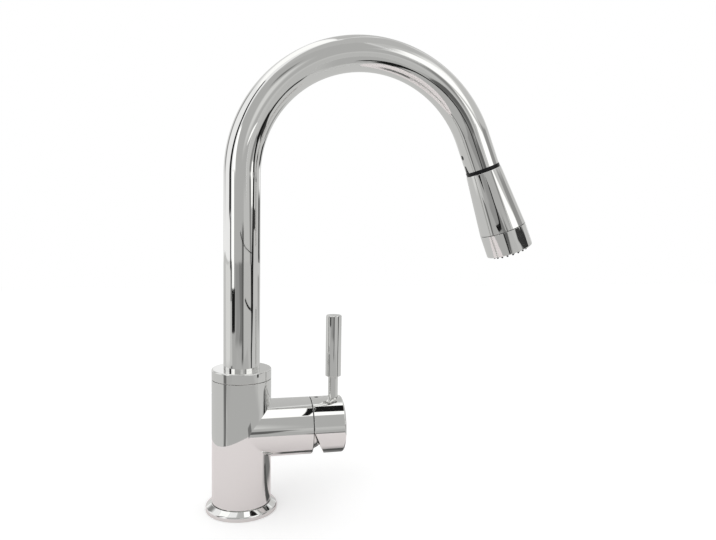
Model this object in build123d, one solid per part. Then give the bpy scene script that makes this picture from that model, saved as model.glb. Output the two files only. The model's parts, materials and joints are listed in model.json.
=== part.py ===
"""Single-lever kitchen faucet with a gooseneck spout and a pull-out spray head.

Millimetres. The origin is on the deck, under the middle of the body. +Z is up, and +X runs from the
body towards the end of the spout and along the valve housing. Everything is shown with the water shut:
the lever upright, the spout over the valve housing, and the spray head docked.
"""
from build123d import *
import math
import os

os.makedirs("parts", exist_ok=True)

# Clearances
slip_gap = 0.05          # pieces pushed, screwed or brazed together
running_gap = 0.06       # a turning piece in its bore
free_gap = 0.3           # pieces that pass each other
face_gap = 0.1           # flat faces that slide or turn on each other
edge_break = 0.4         # small chamfer on outer edges
seam_break = 0.2         # chamfer where two chromed pieces meet in a thin line

# Base flange, deck and clamp
flange_radius = 27.75
flange_edge = 3.3        # height of the upright rim
flange_height = 6.3      # height where the body meets it
flange_rim_round = 0.9
flange_recess = 3.5      # depth of the seat for the body's foot
base_seal_ring = 25.2    # radius of the O-ring's centre line
base_seal_section = 1.0  # radius of its section
deck_hole_radius = 17.5
deck_thickness = 20.0
clamp_thickness = 3.0    # of the steel horseshoe and of the rubber one
clamp_radius = 27.0
clamp_tip_round = 2.0
clamp_hose_room = 3.0    # between the supply hoses and the back of the opening
stud_radius = 4.0
stud_ring = 13.0         # distance of the studs from the axis
stud_angle = 40.0        # from the back of the body, each way
stud_grip = 9.0          # length screwed into the casting
stud_below_nut = 18.0
nut_across_flats = 13.0
nut_height = 10.0
nut_corner_drop = 0.7    # bevel on the nut's corners

# Body casting
body_radius = 23.0
body_top = 103.8
foot_reveal = 0.5        # shadow line between flange and body
foot_radius = 21.5
foot_pocket_radius = 19.0
foot_pocket_top = 26.0   # the ports open into this pocket
port_radius = 4.5        # tapping bore of M10 x 1
port_length = 10.0
port_ring = 13.0
port_angle = 60.0        # hot and cold, each side of the outlet
drilling_radius = 2.8    # water ways
duct_radius = 6.5        # way for the pull-out hose

# Swivel between spout and body
socket_radius = 17.0
socket_floor = 84.0
swivel_stem_radius = 16.0
swivel_stem_lift = 0.8   # space under the stem
swivel_bore = 12.4
bush_wall = 1.9
bush_height = 4.0
bush_split = 1.5
bush_lower_lift = 1.8    # above the socket's floor
bush_upper_drop = 3.0    # below the body's top
stop_screw_height = 92.0
stop_screw_radius = 2.5
stop_screw_length = 5.0
stop_screw_bite = 0.9    # how far the point reaches into the stem
stop_point_radius = 1.6
stop_point_length = 2.0
stop_key = 1.25          # corner radius of the hexagon socket
stop_groove_depth = 1.4
collar_top = 112.0
collar_round = 1.0
seam_gap = 0.4
washer_thickness = 1.0
washer_inner = 17.4
washer_outer = 21.5

# Spout
tube_radius = 14.0
tube_wall = 1.2
tube_seat = 6.4          # length inside the collar
bend_radius = 97.5
bend_height = 262.0      # centre of the bend above the deck
end_angle = 21.7         # the spout's end points this far out from straight down
end_straight = 26.0
key_width = 5.0
key_tip_width = 1.7
key_length = 6.0
tab_radius = 1.9
tab_height = 13.5        # above the tube's end
insert_wall = 2.1
insert_depth = 20.0
dock_ring = 3.0          # thickness of the visible black ring
dock_ring_radius = 14.3

# Hose and its fittings
hose_radius = 5.5
hose_bore = 3.25
hose_tail = 33.0         # reach below the deck
plug_collar = 3.0
plug_barb = 17.0
plug_stem = 16.0
plug_seal_section = 0.9
plug_seal_steps = (6.0, 11.0)
ferrule_length = 17.0
ferrule_wall = 1.8
ferrule_lift = 10.0      # crimp's lower end above the head
ferrule_floor = 0.9
fitting_bore = 2.3
fitting_neck = 5.0
fitting_flange = 8.0
fitting_flange_height = 2.0

# Spray head, measured along its own axis from its top face
head_top_radius = 14.8
head_radius = 19.5
head_length = 51.3       # down to the seam
head_wall = 2.0
nozzle_seam = 0.4
nozzle_length = 19.0
inlet_radius = 10.0      # G 1/2 thread of the hose nut
nut_cone_lift = 9.5
nut_cone_radius = 8.2
nut_depth = 12.0
inlet_washer_height = 2.0
inlet_washer_radius = 8.5
core_radius = 12.0
core_waist = 30.0
core_chamber_top = 44.0
core_chamber_height = 4.0
core_chamber_radius = 9.5
core_shoulder_radius = 15.0
core_flange_top = 47.5
core_flange_height = 3.0
valve_radius = 7.5
valve_length = 13.0
valve_holes = 6
valve_hole_radius = 1.4
valve_hole_ring = 4.4
core_bore = 4.0
spigot_radius = 13.9
spigot_length = 7.0
core_seal_section = 0.95
core_seal_drop = 2.6
outlet_radius = 2.2
outlet_ring = 7.0
nozzle_turn = 60.0       # twist from stream to spray
nozzle_plate = 5.2
nozzle_screw_radius = 1.75
nozzle_screw_head = 3.4
nozzle_screw_head_height = 1.8
nozzle_screw_key = 1.7
nozzle_screw_key_depth = 1.0
nozzle_screw_depth = 9.0
divider_outer = 10.6
face_recess = 1.0        # the black face lies inside the rim
face_thickness = 3.1
face_wall = 1.5
nub_height = 3.0
nub_radius = 1.0
nub_tip_radius = 0.7
outer_nubs = 20
outer_nub_ring = 15.0
inner_nubs = 14
inner_nub_ring = 11.8
aerator_radius = 9.1
aerator_wall = 1.3
aerator_lip = 0.5        # how far it stands out of the black face
aerator_lip_width = 2.0
screen_thickness = 1.2
screen_hole_radius = 0.75
screen_rings = (2.6, 5.2)
screen_ring_holes = 6    # in the first ring, twice as many in the second

# Valve housing and cartridge, measured along the housing's axis from the body's axis
housing_radius = 22.5
housing_height = 63.3
housing_reach = 54.0
cartridge_radius = 17.5
cartridge_length = 28.0  # from its seat to the lever's pivot
pivot_depth = 4.0        # of the pivot inside the housing's mouth
inlet_side = 7.6         # hot and cold ports beside the axis
inlet_rise = 4.4         # and above it
outlet_drop = 8.8
port_seal_section = 0.9
port_seal_ring = 3.9
base_lift = 0.6          # the seals hold the cartridge off its seat
base_thickness = 5.8
disc_thickness = 3.0
fixed_disc_radius = 14.0
moving_disc_radius = 10.8
disc_travel = 4.2
disc_pocket_depth = 1.5
disc_pocket_rim = 1.5    # between the pocket's corners and the carrier's outline
carrier_width = 14.0
carrier_length = 15.0
carrier_height = 5.0
carrier_pocket = 3.4
rotor_bore = 14.2
rotor_neck_radius = 12.2
rotor_rise = 6.0         # of the rotor's neck above the pivot
shell_shoulder_drop = 6.0  # below the pivot
shell_lip_drop = 2.0
shell_lip_height = 2.0
shell_neck_radius = 15.6
bonnet_rim = 2.4         # wall of the housing outside the nut's thread
dome_step = 0.5          # from the thread's radius in to the dome's
dome_wall = 1.8
dome_opening = 12.6
spanner_notches = 4
spanner_notch_width = 3.0

# Lever
tilt_angle = 23.0        # from shut to full flow
stem_width = 7.9
stem_hub = 4.0           # half size of the stem's hub along the housing
stem_past_rod = 3.0      # the stem ends beyond the lever's rod
stem_tip_radius = 2.4
stem_pin_radius = 1.5
stem_pin_length = 22.0
cap_gap = 0.7            # between the housing's mouth and the cap
cap_length = 25.3
cap_crown = 1.0
cap_wall = 2.2
cap_edge_round = 1.5
cap_cut_angle = 23.8     # slant of the cap's back edge below the axis
cap_cut_rise = 0.7       # the slant starts this far above the axis
boss_radius = 7.5
boss_length = 7.6
rod_inset = 7.0          # lever's rod from the cap's end
neck_radius = 3.95
neck_seat = 0.5
neck_thread_radius = 2.95
grip_radius = 6.25
grip_bottom = 102.9
grip_top = 152.3
grip_socket = 18.0
grip_round = 0.8
grip_recess = 0.6        # shallow step round the neck
index_inset = 4.7        # from the cap's back edge
index_radius = 1.5
index_recess = 0.25

# Heights and radii that follow from the sizes above
recess_floor = flange_height - flange_recess
body_foot = flange_height + foot_reveal
collar_bottom = body_top + seam_gap
tube_bottom = collar_top - tube_seat
tube_bore = tube_radius - tube_wall
washer_seat = collar_bottom - face_gap - washer_thickness
bush_outer = socket_radius - running_gap
bush_inner = bush_outer - bush_wall
bush_lower = socket_floor + bush_lower_lift
bush_upper = body_top - bush_upper_drop - bush_height
insert_radius = tube_bore - slip_gap
insert_bore = insert_radius - insert_wall
bracket_top = -deck_thickness - clamp_thickness
nut_top = bracket_top - clamp_thickness
stud_bottom = nut_top - nut_height - stud_below_nut
stud_top = foot_pocket_top + stud_grip
plug_stem_radius = hose_radius - plug_seal_section / 2
plug_groove_radius = plug_stem_radius - plug_seal_section
washer_top = nut_depth + fitting_flange_height
valve_top = washer_top + inlet_washer_height
core_top = head_wall + slip_gap
nozzle_top = head_length + nozzle_seam
core_bottom = nozzle_top + spigot_length
plate_top = core_bottom + free_gap
plate_bottom = plate_top + nozzle_plate
nozzle_tip = nozzle_top + nozzle_length
nozzle_inner = head_radius - head_wall
face_bottom = nozzle_tip - face_recess
face_top = face_bottom - face_thickness
pivot_reach = housing_reach - pivot_depth
cartridge_seat = pivot_reach - cartridge_length
base_top = cartridge_seat + base_lift + base_thickness
fixed_disc_start = base_top + face_gap
moving_disc_start = fixed_disc_start + disc_thickness + face_gap
carrier_start = moving_disc_start + disc_thickness
rotor_start = carrier_start + free_gap
stem_tip_arm = pivot_reach - carrier_start - carrier_height
rotor_radius = rotor_bore - running_gap
rotor_top = pivot_reach + rotor_rise
shell_shoulder = pivot_reach - shell_shoulder_drop
shell_lip = pivot_reach - shell_lip_drop
shell_top = shell_lip + shell_lip_height
rotor_shoulder = shell_lip - face_gap
bonnet_thread_radius = housing_radius - bonnet_rim
dome_radius = bonnet_thread_radius - dome_step
cap_start = housing_reach + cap_gap
cap_end = cap_start + cap_length
cap_bore = housing_radius - cap_wall
boss_start = cap_end - cap_wall - boss_length
lever_reach = cap_end - rod_inset
stem_end = lever_reach + stem_past_rod
index_reach = cap_start + index_inset
grip_foot = grip_bottom - housing_height
grip_head = grip_top - housing_height

# Frames: the spout's end, the spray head and the valve housing. The lever's pivot, its rod and the
# index plug have theirs within the housing's frame.
ON_BASE = (Align.CENTER, Align.CENTER, Align.MIN)
slant = math.radians(end_angle)
outward = Vector(math.sin(slant), 0, -math.cos(slant))
inward = Vector(-math.cos(slant), 0, -math.sin(slant))
spout_end = Vector(bend_radius, 0, bend_height) - inward * bend_radius + outward * end_straight
SPOUT_END = Plane(origin=spout_end, x_dir=inward, z_dir=outward)
HEAD = Plane(origin=spout_end + outward * (dock_ring + face_gap), x_dir=inward, z_dir=outward)
HOUSING = Plane(origin=(0, 0, housing_height), x_dir=(0, 0, 1), z_dir=(1, 0, 0))
STOP_SCREW = Plane(origin=(0, 0, stop_screw_height), x_dir=(0, 1, 0), z_dir=(-1, 0, 0))
PIVOT = Plane(origin=(0, 0, pivot_reach), x_dir=(1, 0, 0), z_dir=(0, 1, 0))
LEVER = Plane(origin=(0, 0, lever_reach), x_dir=(0, 1, 0), z_dir=(1, 0, 0))
INDEX = Plane(origin=(0, 0, index_reach), x_dir=(0, 1, 0), z_dir=(1, 0, 0))


def rod(radius, start, end):
    """Solid round bar along Z."""
    return Pos(0, 0, start) * Cylinder(radius, end - start, align=ON_BASE)


def ring(outer, inner, start, end):
    """Round bar with a round bore."""
    return rod(outer, start, end) - rod(inner, start, end)


def block(length, width, start, end):
    """Square-edged bar along Z, its length along X."""
    return Pos(0, 0, start) * Box(length, width, end - start, align=ON_BASE)


def turned(*outline):
    """Solid turned about Z from an outline of (radius, height) points."""
    return revolve(Plane.XZ * make_face(Polyline(*outline, close=True)), Axis.Z)


def o_ring(centre_radius, section, height):
    """Rubber ring lying level, its middle at the height."""
    return Pos(0, 0, height) * Torus(centre_radius, section)


def at_angle(radius, angle):
    """Place on a circle about Z."""
    return Pos(radius * math.cos(math.radians(angle)), radius * math.sin(math.radians(angle)), 0)


def around(count, radius):
    """Places evenly spaced on a circle about Z."""
    return [at_angle(radius, turn * 360.0 / count) for turn in range(count)]


def group(frame, pieces):
    """Separate solids that share a node, each put in its place in a frame."""
    return Compound(children=[frame * piece for piece in pieces])


def rims(solid, radius, axis=Axis.Z):
    """Circular edges of one radius, sorted along an axis."""
    circles = solid.edges().filter_by(GeomType.CIRCLE)
    return circles.filter_by(lambda edge: abs(edge.radius - radius) < slip_gap / 2).sort_by(axis)


def centre_line(start_height, end_length):
    """Middle line of the spout, from a height on the leg to a length past the end of the bend."""
    leg = Line((0, start_height), (0, bend_height))
    bend = CenterArc((bend_radius, bend_height), bend_radius, 180, end_angle - 180)
    last = Line(bend @ 1, (bend @ 1) + (bend % 1) * end_length)
    return Plane.XZ * (leg + bend + last)


def bent_bar(start_height, end_length, radius):
    """Round bar along the spout's middle line."""
    return sweep(Pos(0, 0, start_height) * Circle(radius), path=centre_line(start_height, end_length))


# Deck fixing

def port_places():
    """Ports for the outlet hose and the two supply hoses."""
    return [at_angle(port_ring, angle) for angle in (0, port_angle, -port_angle)]


def stud_places():
    """The two studs, at the back of the body."""
    return [at_angle(stud_ring, 180 + angle) for angle in (stud_angle, -stud_angle)]


def base_flange():
    hole = deck_hole_radius + slip_gap
    seat = foot_radius + slip_gap
    blank = turned((hole, 0), (flange_radius, 0), (flange_radius, flange_edge),
                   (body_radius + foot_reveal, flange_height), (seat, flange_height),
                   (seat, recess_floor), (hole, recess_floor))
    blank = fillet(rims(blank, flange_radius)[-1], flange_rim_round)
    side = base_seal_section + face_gap
    groove = ring(base_seal_ring + side, base_seal_ring - side, 0, side + base_seal_section)
    return blank - groove


def base_seal():
    return o_ring(base_seal_ring, base_seal_section, base_seal_section)


def mounting_studs():
    stud = rod(stud_radius, stud_bottom, stud_top)
    stud = chamfer(rims(stud, stud_radius), edge_break)
    return group(Plane.XY, [place * stud for place in stud_places()])


def horseshoe(thickness, top):
    """Clamp plate: a disc, open to the front for the hoses, with holes for the studs."""
    back = port_ring * math.cos(math.radians(port_angle)) - port_radius - clamp_hose_room
    opening = Pos(back, 0) * Rectangle(2 * clamp_radius, 2 * deck_hole_radius,
                                       align=(Align.MIN, Align.CENTER))
    outline = Circle(clamp_radius) - opening - Circle(duct_radius + free_gap)
    outline -= [place * Circle(stud_radius + free_gap) for place in stud_places()]
    tips = outline.vertices().filter_by(lambda corner: corner.X > deck_hole_radius)
    return Pos(0, 0, top - thickness) * extrude(fillet(tips, clamp_tip_round), thickness)


def clamp_gasket():
    return horseshoe(clamp_thickness, -deck_thickness)


def clamp_bracket():
    return horseshoe(clamp_thickness, bracket_top)


def stud_nuts():
    flat = nut_across_flats / 2
    corner = flat / math.cos(math.radians(30))
    bevel = turned((0, 0), (flat, 0), (corner, nut_corner_drop), (corner, nut_height - nut_corner_drop),
                   (flat, nut_height), (0, nut_height))
    nut = extrude(RegularPolygon(flat, 6, major_radius=False), nut_height) & bevel
    nut -= rod(stud_radius + slip_gap, 0, nut_height)
    return group(Pos(0, 0, nut_top - nut_height), [place * nut for place in stud_places()])


# Body casting

def body_water_ways():
    """Drillings from the ports in the foot to the floor of the cartridge chamber."""
    low = HOUSING * Pos(-outlet_drop, 0, 0)
    ways = [at_angle(port_ring, 0) * rod(drilling_radius, foot_pocket_top, housing_height - outlet_drop),
            low * rod(drilling_radius, port_ring - drilling_radius, cartridge_seat)]
    for side in (1, -1):
        upright = at_angle(port_ring, side * port_angle)
        high = HOUSING * Pos(inlet_rise, -side * inlet_side, 0)
        ways.append(upright * rod(drilling_radius, foot_pocket_top, housing_height + inlet_rise))
        ways.append(high * rod(drilling_radius, upright.position.X, cartridge_seat))
    return ways


def faucet_body():
    barrel = rod(body_radius, body_foot, body_top)
    housing = HOUSING * rod(housing_radius, 0, housing_reach)
    casting = barrel + housing + rod(foot_radius, recess_floor, body_foot)
    mouths = [rims(casting, body_radius)[-1], rims(casting, housing_radius, Axis.X)[-1]]
    casting = chamfer(mouths, seam_break)
    casting -= rod(foot_pocket_radius, recess_floor, foot_pocket_top)
    casting -= rod(duct_radius, foot_pocket_top, socket_floor)
    casting -= rod(socket_radius, socket_floor, body_top)
    casting -= rod(washer_outer + free_gap, washer_seat, body_top)
    casting -= [place * rod(port_radius, foot_pocket_top, foot_pocket_top + port_length)
                for place in port_places()]
    casting -= [place * rod(stud_radius + slip_gap, foot_pocket_top, stud_top) for place in stud_places()]
    casting -= body_water_ways()
    casting -= HOUSING * rod(cartridge_radius + face_gap, cartridge_seat, housing_reach)
    casting -= HOUSING * rod(bonnet_thread_radius + slip_gap, shell_shoulder - free_gap, housing_reach)
    casting -= STOP_SCREW * rod(stop_screw_radius, 0, body_radius)
    return casting


def spout_stop_screw():
    tip = swivel_stem_radius - stop_screw_bite
    thread = tip + stop_point_length
    end = thread + stop_screw_length
    screw = rod(stop_point_radius, tip, thread) + rod(stop_screw_radius - slip_gap, thread, end)
    depth = stop_screw_length / 2
    return STOP_SCREW * (screw - Pos(0, 0, end - depth) * extrude(RegularPolygon(stop_key, 6), depth))


# Swivel and spout

def thrust_washer():
    return ring(washer_outer, washer_inner, washer_seat, washer_seat + washer_thickness)


def swivel_collar():
    stem = swivel_stem_radius
    foot = socket_floor + swivel_stem_lift
    point = stop_point_radius + face_gap
    grooves = ((bush_lower, bush_lower + bush_height, bush_inner - slip_gap),
               (stop_screw_height - point, stop_screw_height + point, stem - stop_groove_depth),
               (bush_upper, bush_upper + bush_height, bush_inner - slip_gap))
    outline = [(swivel_bore, foot), (stem, foot)]
    for low, high, radius in grooves:
        outline += [(stem, low - face_gap), (radius, low - face_gap), (radius, high + face_gap),
                    (stem, high + face_gap)]
    outline += [(stem, collar_bottom), (body_radius, collar_bottom), (body_radius, collar_top),
                (tube_radius + slip_gap, collar_top), (tube_radius + slip_gap, tube_bottom),
                (swivel_bore, tube_bottom)]
    collar = turned(*outline)
    collar = fillet(rims(collar, body_radius)[-1], collar_round)
    return chamfer(rims(collar, body_radius)[0], seam_break)


def swivel_bush(height):
    """Plastic ring, split so that it snaps into its groove."""
    split = Pos(-socket_radius, 0, 0) * block(2 * bush_wall + socket_radius, bush_split, height,
                                              height + bush_height)
    return ring(bush_outer, bush_inner, height, height + bush_height) - split


def swivel_bush_lower():
    return swivel_bush(bush_lower)


def swivel_bush_upper():
    return swivel_bush(bush_upper)


def key_wedge(inner, outer, spare):
    """Tapered key on the inner side of the spout's end, between two radii."""
    half = key_width / 2 + spare
    length = key_length + spare
    tip = key_tip_width / 2 + spare
    outline = Polyline((0, half), (-length, tip), (-length, -tip), (0, -half), close=True)
    side = Plane(origin=(inner, 0, 0), x_dir=(0, 0, 1), z_dir=(1, 0, 0))
    return side * extrude(make_face(outline), outer - inner)


def tab_peg(inner, outer, spare):
    """Round snap tab on the inner side of the spout, above its end."""
    side = Plane(origin=(0, 0, -tab_height), x_dir=(0, 1, 0), z_dir=(1, 0, 0))
    return side * rod(tab_radius + spare, inner, outer)


def spout_tube():
    tube = bent_bar(tube_bottom, end_straight, tube_radius) - bent_bar(tube_bottom, end_straight, tube_bore)
    tube -= SPOUT_END * key_wedge(insert_bore, tube_radius + tube_wall, face_gap)
    return tube - SPOUT_END * tab_peg(insert_bore, tube_radius + tube_wall, face_gap)


def docking_insert():
    insert = rod(insert_radius, -insert_depth, 0) + rod(dock_ring_radius, 0, dock_ring)
    insert = chamfer(rims(insert, dock_ring_radius), edge_break)
    insert += key_wedge(insert_bore, tube_radius, 0) + tab_peg(insert_bore, tube_radius, 0)
    return SPOUT_END * (insert - rod(insert_bore, -insert_depth, dock_ring))


# Hose and its two fittings

def pull_hose():
    end = end_straight + dock_ring + face_gap - ferrule_lift - ferrule_floor
    return bent_bar(-hose_tail, end, hose_radius) - bent_bar(-hose_tail, end, hose_bore)


def hose_plug():
    """Push-in plug: a barb inside the hose, a collar under it, and a stem with two grooves."""
    bore = fitting_bore
    barb = hose_bore - slip_gap
    outline = [(bore, plug_barb), (barb, plug_barb), (barb, 0), (hose_radius, 0),
               (hose_radius, -plug_collar), (plug_stem_radius, -plug_collar)]
    for step in plug_seal_steps:
        low, high = -step - plug_seal_section, -step + plug_seal_section
        outline += [(plug_stem_radius, high), (plug_groove_radius, high), (plug_groove_radius, low),
                    (plug_stem_radius, low)]
    outline += [(plug_stem_radius, -plug_stem), (bore, -plug_stem)]
    return Pos(0, 0, -hose_tail) * turned(*outline)


def plug_seals():
    section = plug_seal_section - slip_gap
    seals = [o_ring(plug_groove_radius + section, section, -step) for step in plug_seal_steps]
    return group(Pos(0, 0, -hose_tail), seals)


def hose_ferrule():
    """Crimped fitting: a sleeve round the hose, a barb in it, a neck through the nut and a flange."""
    foot = -ferrule_lift
    inside = foot - ferrule_floor
    crimp = foot - ferrule_length
    sleeve = hose_radius + slip_gap
    barb = hose_bore - slip_gap
    return HEAD * turned((fitting_bore, crimp + ferrule_floor), (barb, crimp + ferrule_floor),
                         (barb, inside), (sleeve, inside), (sleeve, crimp),
                         (sleeve + ferrule_wall, crimp), (sleeve + ferrule_wall, foot),
                         (fitting_neck, foot), (fitting_neck, nut_depth), (fitting_flange, nut_depth),
                         (fitting_flange, washer_top), (fitting_bore, washer_top))


def hose_nut():
    """Cone-nosed nut: the cone centres the head in the docking insert."""
    bore = fitting_neck + slip_gap
    return HEAD * turned((bore, -nut_cone_lift), (nut_cone_radius, -nut_cone_lift),
                         (inlet_radius - slip_gap, 0), (inlet_radius - slip_gap, nut_depth),
                         (bore, nut_depth))


# Spray head

def head_outer(drop):
    """Radius of the cone at a distance below its top."""
    return head_top_radius + (head_radius - head_top_radius) * drop / head_length


def head_shell():
    inlet = inlet_radius + free_gap
    shell = turned((inlet, 0), (head_top_radius, 0), (head_radius, head_length),
                   (nozzle_inner, head_length), (head_outer(head_wall) - head_wall, head_wall),
                   (inlet, head_wall))
    shell = chamfer(rims(shell, head_top_radius)[0], edge_break)
    return HEAD * chamfer(rims(shell, head_radius)[0], seam_break)


def head_core():
    """Water way from the hose nut, past the check valve, to one off-centre outlet."""
    flange = head_outer(core_flange_top) - head_wall - slip_gap
    flange_end = core_flange_top + core_flange_height
    core = turned((0, core_top), (core_radius, core_top), (core_radius, core_waist),
                  (core_shoulder_radius, core_chamber_top), (core_shoulder_radius, core_flange_top),
                  (flange, core_flange_top), (flange, flange_end), (spigot_radius, flange_end),
                  (spigot_radius, core_bottom), (0, core_bottom))
    core -= rod(inlet_radius, core_top, valve_top)
    core -= rod(valve_radius + slip_gap, valve_top, valve_top + valve_length)
    core -= rod(core_bore, core_top, core_chamber_top)
    core -= rod(core_chamber_radius, core_chamber_top, core_chamber_top + core_chamber_height)
    core -= Pos(outlet_ring, 0, 0) * rod(outlet_radius, core_chamber_top, core_bottom)
    core -= rod(nozzle_screw_radius + slip_gap, core_bottom - nozzle_screw_depth, core_bottom)
    seal = nozzle_top + core_seal_drop
    half = core_seal_section + slip_gap
    core -= ring(spigot_radius, spigot_radius - 2 * core_seal_section + free_gap, seal - half, seal + half)
    return HEAD * core


def core_seal():
    centre = spigot_radius + free_gap - core_seal_section
    return HEAD * o_ring(centre, core_seal_section, nozzle_top + core_seal_drop)


def inlet_washer():
    return HEAD * ring(inlet_washer_radius, core_bore, washer_top, valve_top)


def check_valve():
    valve = rod(valve_radius, valve_top, valve_top + valve_length)
    valve -= [place * rod(valve_hole_radius, valve_top, valve_top + valve_length)
              for place in around(valve_holes, valve_hole_ring)]
    return HEAD * valve


def nozzle_screw():
    head = plate_bottom + face_gap
    end = head + nozzle_screw_head_height
    screw = rod(nozzle_screw_radius, core_bottom - nozzle_screw_depth, head)
    screw += rod(nozzle_screw_head, head, end)
    key = extrude(RegularPolygon(nozzle_screw_key, 6), nozzle_screw_key_depth)
    return HEAD * (screw - Pos(0, 0, end - nozzle_screw_key_depth) * key)


# Nozzle

def nozzle_collar():
    collar = ring(head_radius, nozzle_inner, nozzle_top, nozzle_tip)
    collar = chamfer(rims(collar, head_radius)[0], seam_break)
    return HEAD * chamfer(rims(collar, head_radius)[-1], edge_break)


def nozzle_body():
    """Plate under the core: one port leads to the middle, the other to the ring of nubs."""
    outer = nozzle_inner - slip_gap
    body = ring(outer, spigot_radius + free_gap + slip_gap, nozzle_top, plate_top)
    body += rod(outer, plate_top, plate_bottom)
    body += ring(divider_outer, aerator_radius + slip_gap, plate_bottom, face_top)
    middle_port = Pos(outlet_ring, 0, 0) * rod(outlet_radius, plate_top, plate_bottom)
    turn = Rot(0, 0, nozzle_turn)
    half = (plate_top + plate_bottom) / 2
    spray_port = turn * Pos(outlet_ring, 0, 0) * rod(outlet_radius, plate_top, half)
    channel = turn * Pos((outlet_ring + outer_nub_ring) / 2, 0, 0) * block(
        outer_nub_ring - outlet_ring, 2 * outlet_radius, half - outlet_radius / 2, half + outlet_radius / 2)
    drop = turn * Pos(inner_nub_ring + outlet_radius, 0, 0) * rod(outlet_radius, half, plate_bottom)
    screw_hole = rod(nozzle_screw_radius + free_gap, plate_top, plate_bottom)
    return HEAD * (body - middle_port - spray_port - channel - drop - screw_hole)


def spray_face():
    """Black rubber face with two rings of nubs round the aerator."""
    face = ring(nozzle_inner - slip_gap, aerator_radius + slip_gap, face_top, face_bottom)
    face += ring(nozzle_inner - slip_gap, nozzle_inner - face_wall, plate_bottom, face_top)
    nub = turned((0, face_bottom), (nub_radius, face_bottom),
                 (nub_tip_radius, face_bottom + nub_height), (0, face_bottom + nub_height))
    face += [place * nub for place in around(outer_nubs, outer_nub_ring)]
    face += [place * nub for place in around(inner_nubs, inner_nub_ring)]
    return HEAD * face


def aerator_shell():
    inside = aerator_radius - aerator_wall
    end = face_bottom + aerator_lip
    shell = ring(aerator_radius, inside, face_top + face_gap, end)
    lip = ring(aerator_radius, aerator_radius - aerator_lip_width, end - aerator_lip, end)
    return HEAD * (shell + lip)


def aerator_screens():
    """Two drilled discs that break up the water."""
    discs = []
    radius = aerator_radius - aerator_wall - slip_gap
    for start in (face_top + free_gap, face_bottom - screen_thickness):
        disc = rod(radius, start, start + screen_thickness)
        for turn, ring_radius in enumerate(screen_rings, start=1):
            disc -= [place * rod(screen_hole_radius, start, start + screen_thickness)
                     for place in around(screen_ring_holes * turn, ring_radius)]
        discs.append(disc)
    return group(HEAD, discs)


# Cartridge

def valve_ports():
    """Cold, hot and outlet port of the cartridge, in the housing's frame."""
    return [Pos(inlet_rise, inlet_side, 0), Pos(inlet_rise, -inlet_side, 0), Pos(-outlet_drop, 0, 0)]


def cartridge_seals():
    height = cartridge_seat + port_seal_section + slip_gap
    seals = [place * o_ring(port_seal_ring, port_seal_section, height) for place in valve_ports()]
    return group(HOUSING, seals)


def cartridge_base():
    start = cartridge_seat + base_lift
    base = rod(cartridge_radius - slip_gap, start, base_top)
    base -= [place * rod(drilling_radius, start, base_top) for place in valve_ports()]
    recess = 2 * port_seal_section + 2 * slip_gap - base_lift
    seat = port_seal_ring + port_seal_section + slip_gap
    base -= [place * rod(seat, start, start + recess) for place in valve_ports()]
    return HOUSING * base


def fixed_disc():
    end = fixed_disc_start + disc_thickness
    disc = rod(fixed_disc_radius, fixed_disc_start, end)
    return HOUSING * (disc - [place * rod(drilling_radius, fixed_disc_start, end)
                              for place in valve_ports()])


def cartridge_shell():
    return HOUSING * turned((rotor_bore, fixed_disc_start), (cartridge_radius, fixed_disc_start),
                            (cartridge_radius, shell_shoulder), (shell_neck_radius, shell_shoulder),
                            (shell_neck_radius, shell_top),
                            (rotor_neck_radius + free_gap, shell_top),
                            (rotor_neck_radius + free_gap, shell_lip), (rotor_bore, shell_lip))


def bonnet_nut():
    """Threaded ring with a domed nose, concentric with the lever's pivot."""
    dome = Pos(0, 0, pivot_reach) * (Sphere(dome_radius) - Sphere(dome_radius - dome_wall))
    nose = math.sqrt(dome_radius ** 2 - dome_opening ** 2)
    dome &= rod(dome_radius, pivot_reach, pivot_reach + nose)
    bore = shell_neck_radius + free_gap
    nut = ring(bonnet_thread_radius, bore, shell_shoulder, housing_reach) + dome
    nut -= rod(dome_opening, pivot_reach, pivot_reach + dome_radius)
    notch = block(dome_radius, spanner_notch_width, pivot_reach + nose - dome_wall,
                  pivot_reach + dome_radius)
    notch = Pos(dome_radius, 0, 0) * notch
    return HOUSING * (nut - [Rot(0, 0, turn * 360.0 / spanner_notches) * notch
                             for turn in range(spanner_notches)])


def cartridge_turret():
    """Rotor: turned by the lever, it guides the stem between its cheeks and turns the moving disc."""
    rotor = rod(rotor_radius, rotor_start, rotor_shoulder)
    rotor += rod(rotor_neck_radius, rotor_shoulder, rotor_top)
    tilt = math.radians(tilt_angle)
    above = stem_tip_arm * math.tan(tilt) + stem_tip_radius + free_gap
    below = (rotor_top - pivot_reach) * math.tan(tilt) + stem_width / 2 / math.cos(tilt) + free_gap
    slot = Pos((above - below) / 2, 0, 0) * block(above + below, stem_width + 2 * free_gap, rotor_start,
                                                  rotor_top)
    pocket = block(carrier_length + disc_travel + 2 * free_gap, carrier_width + face_gap * 2, rotor_start,
                   carrier_start + carrier_height + free_gap)
    pin_bore = PIVOT * rod(stem_pin_radius + slip_gap, -stem_pin_length / 2, stem_pin_length / 2)
    return HOUSING * (rotor - slot - pocket - pin_bore)


def stem_pin():
    return HOUSING * PIVOT * rod(stem_pin_radius, -stem_pin_length / 2, stem_pin_length / 2)


def moving_disc():
    end = moving_disc_start + disc_thickness
    disc = rod(moving_disc_radius, moving_disc_start, end)
    length = carrier_length - 2 * disc_pocket_rim
    width = carrier_width - 2 * disc_pocket_rim
    disc -= block(length, width, moving_disc_start, moving_disc_start + disc_pocket_depth)
    return HOUSING * Pos(-disc_travel / 2, 0, 0) * disc


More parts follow.
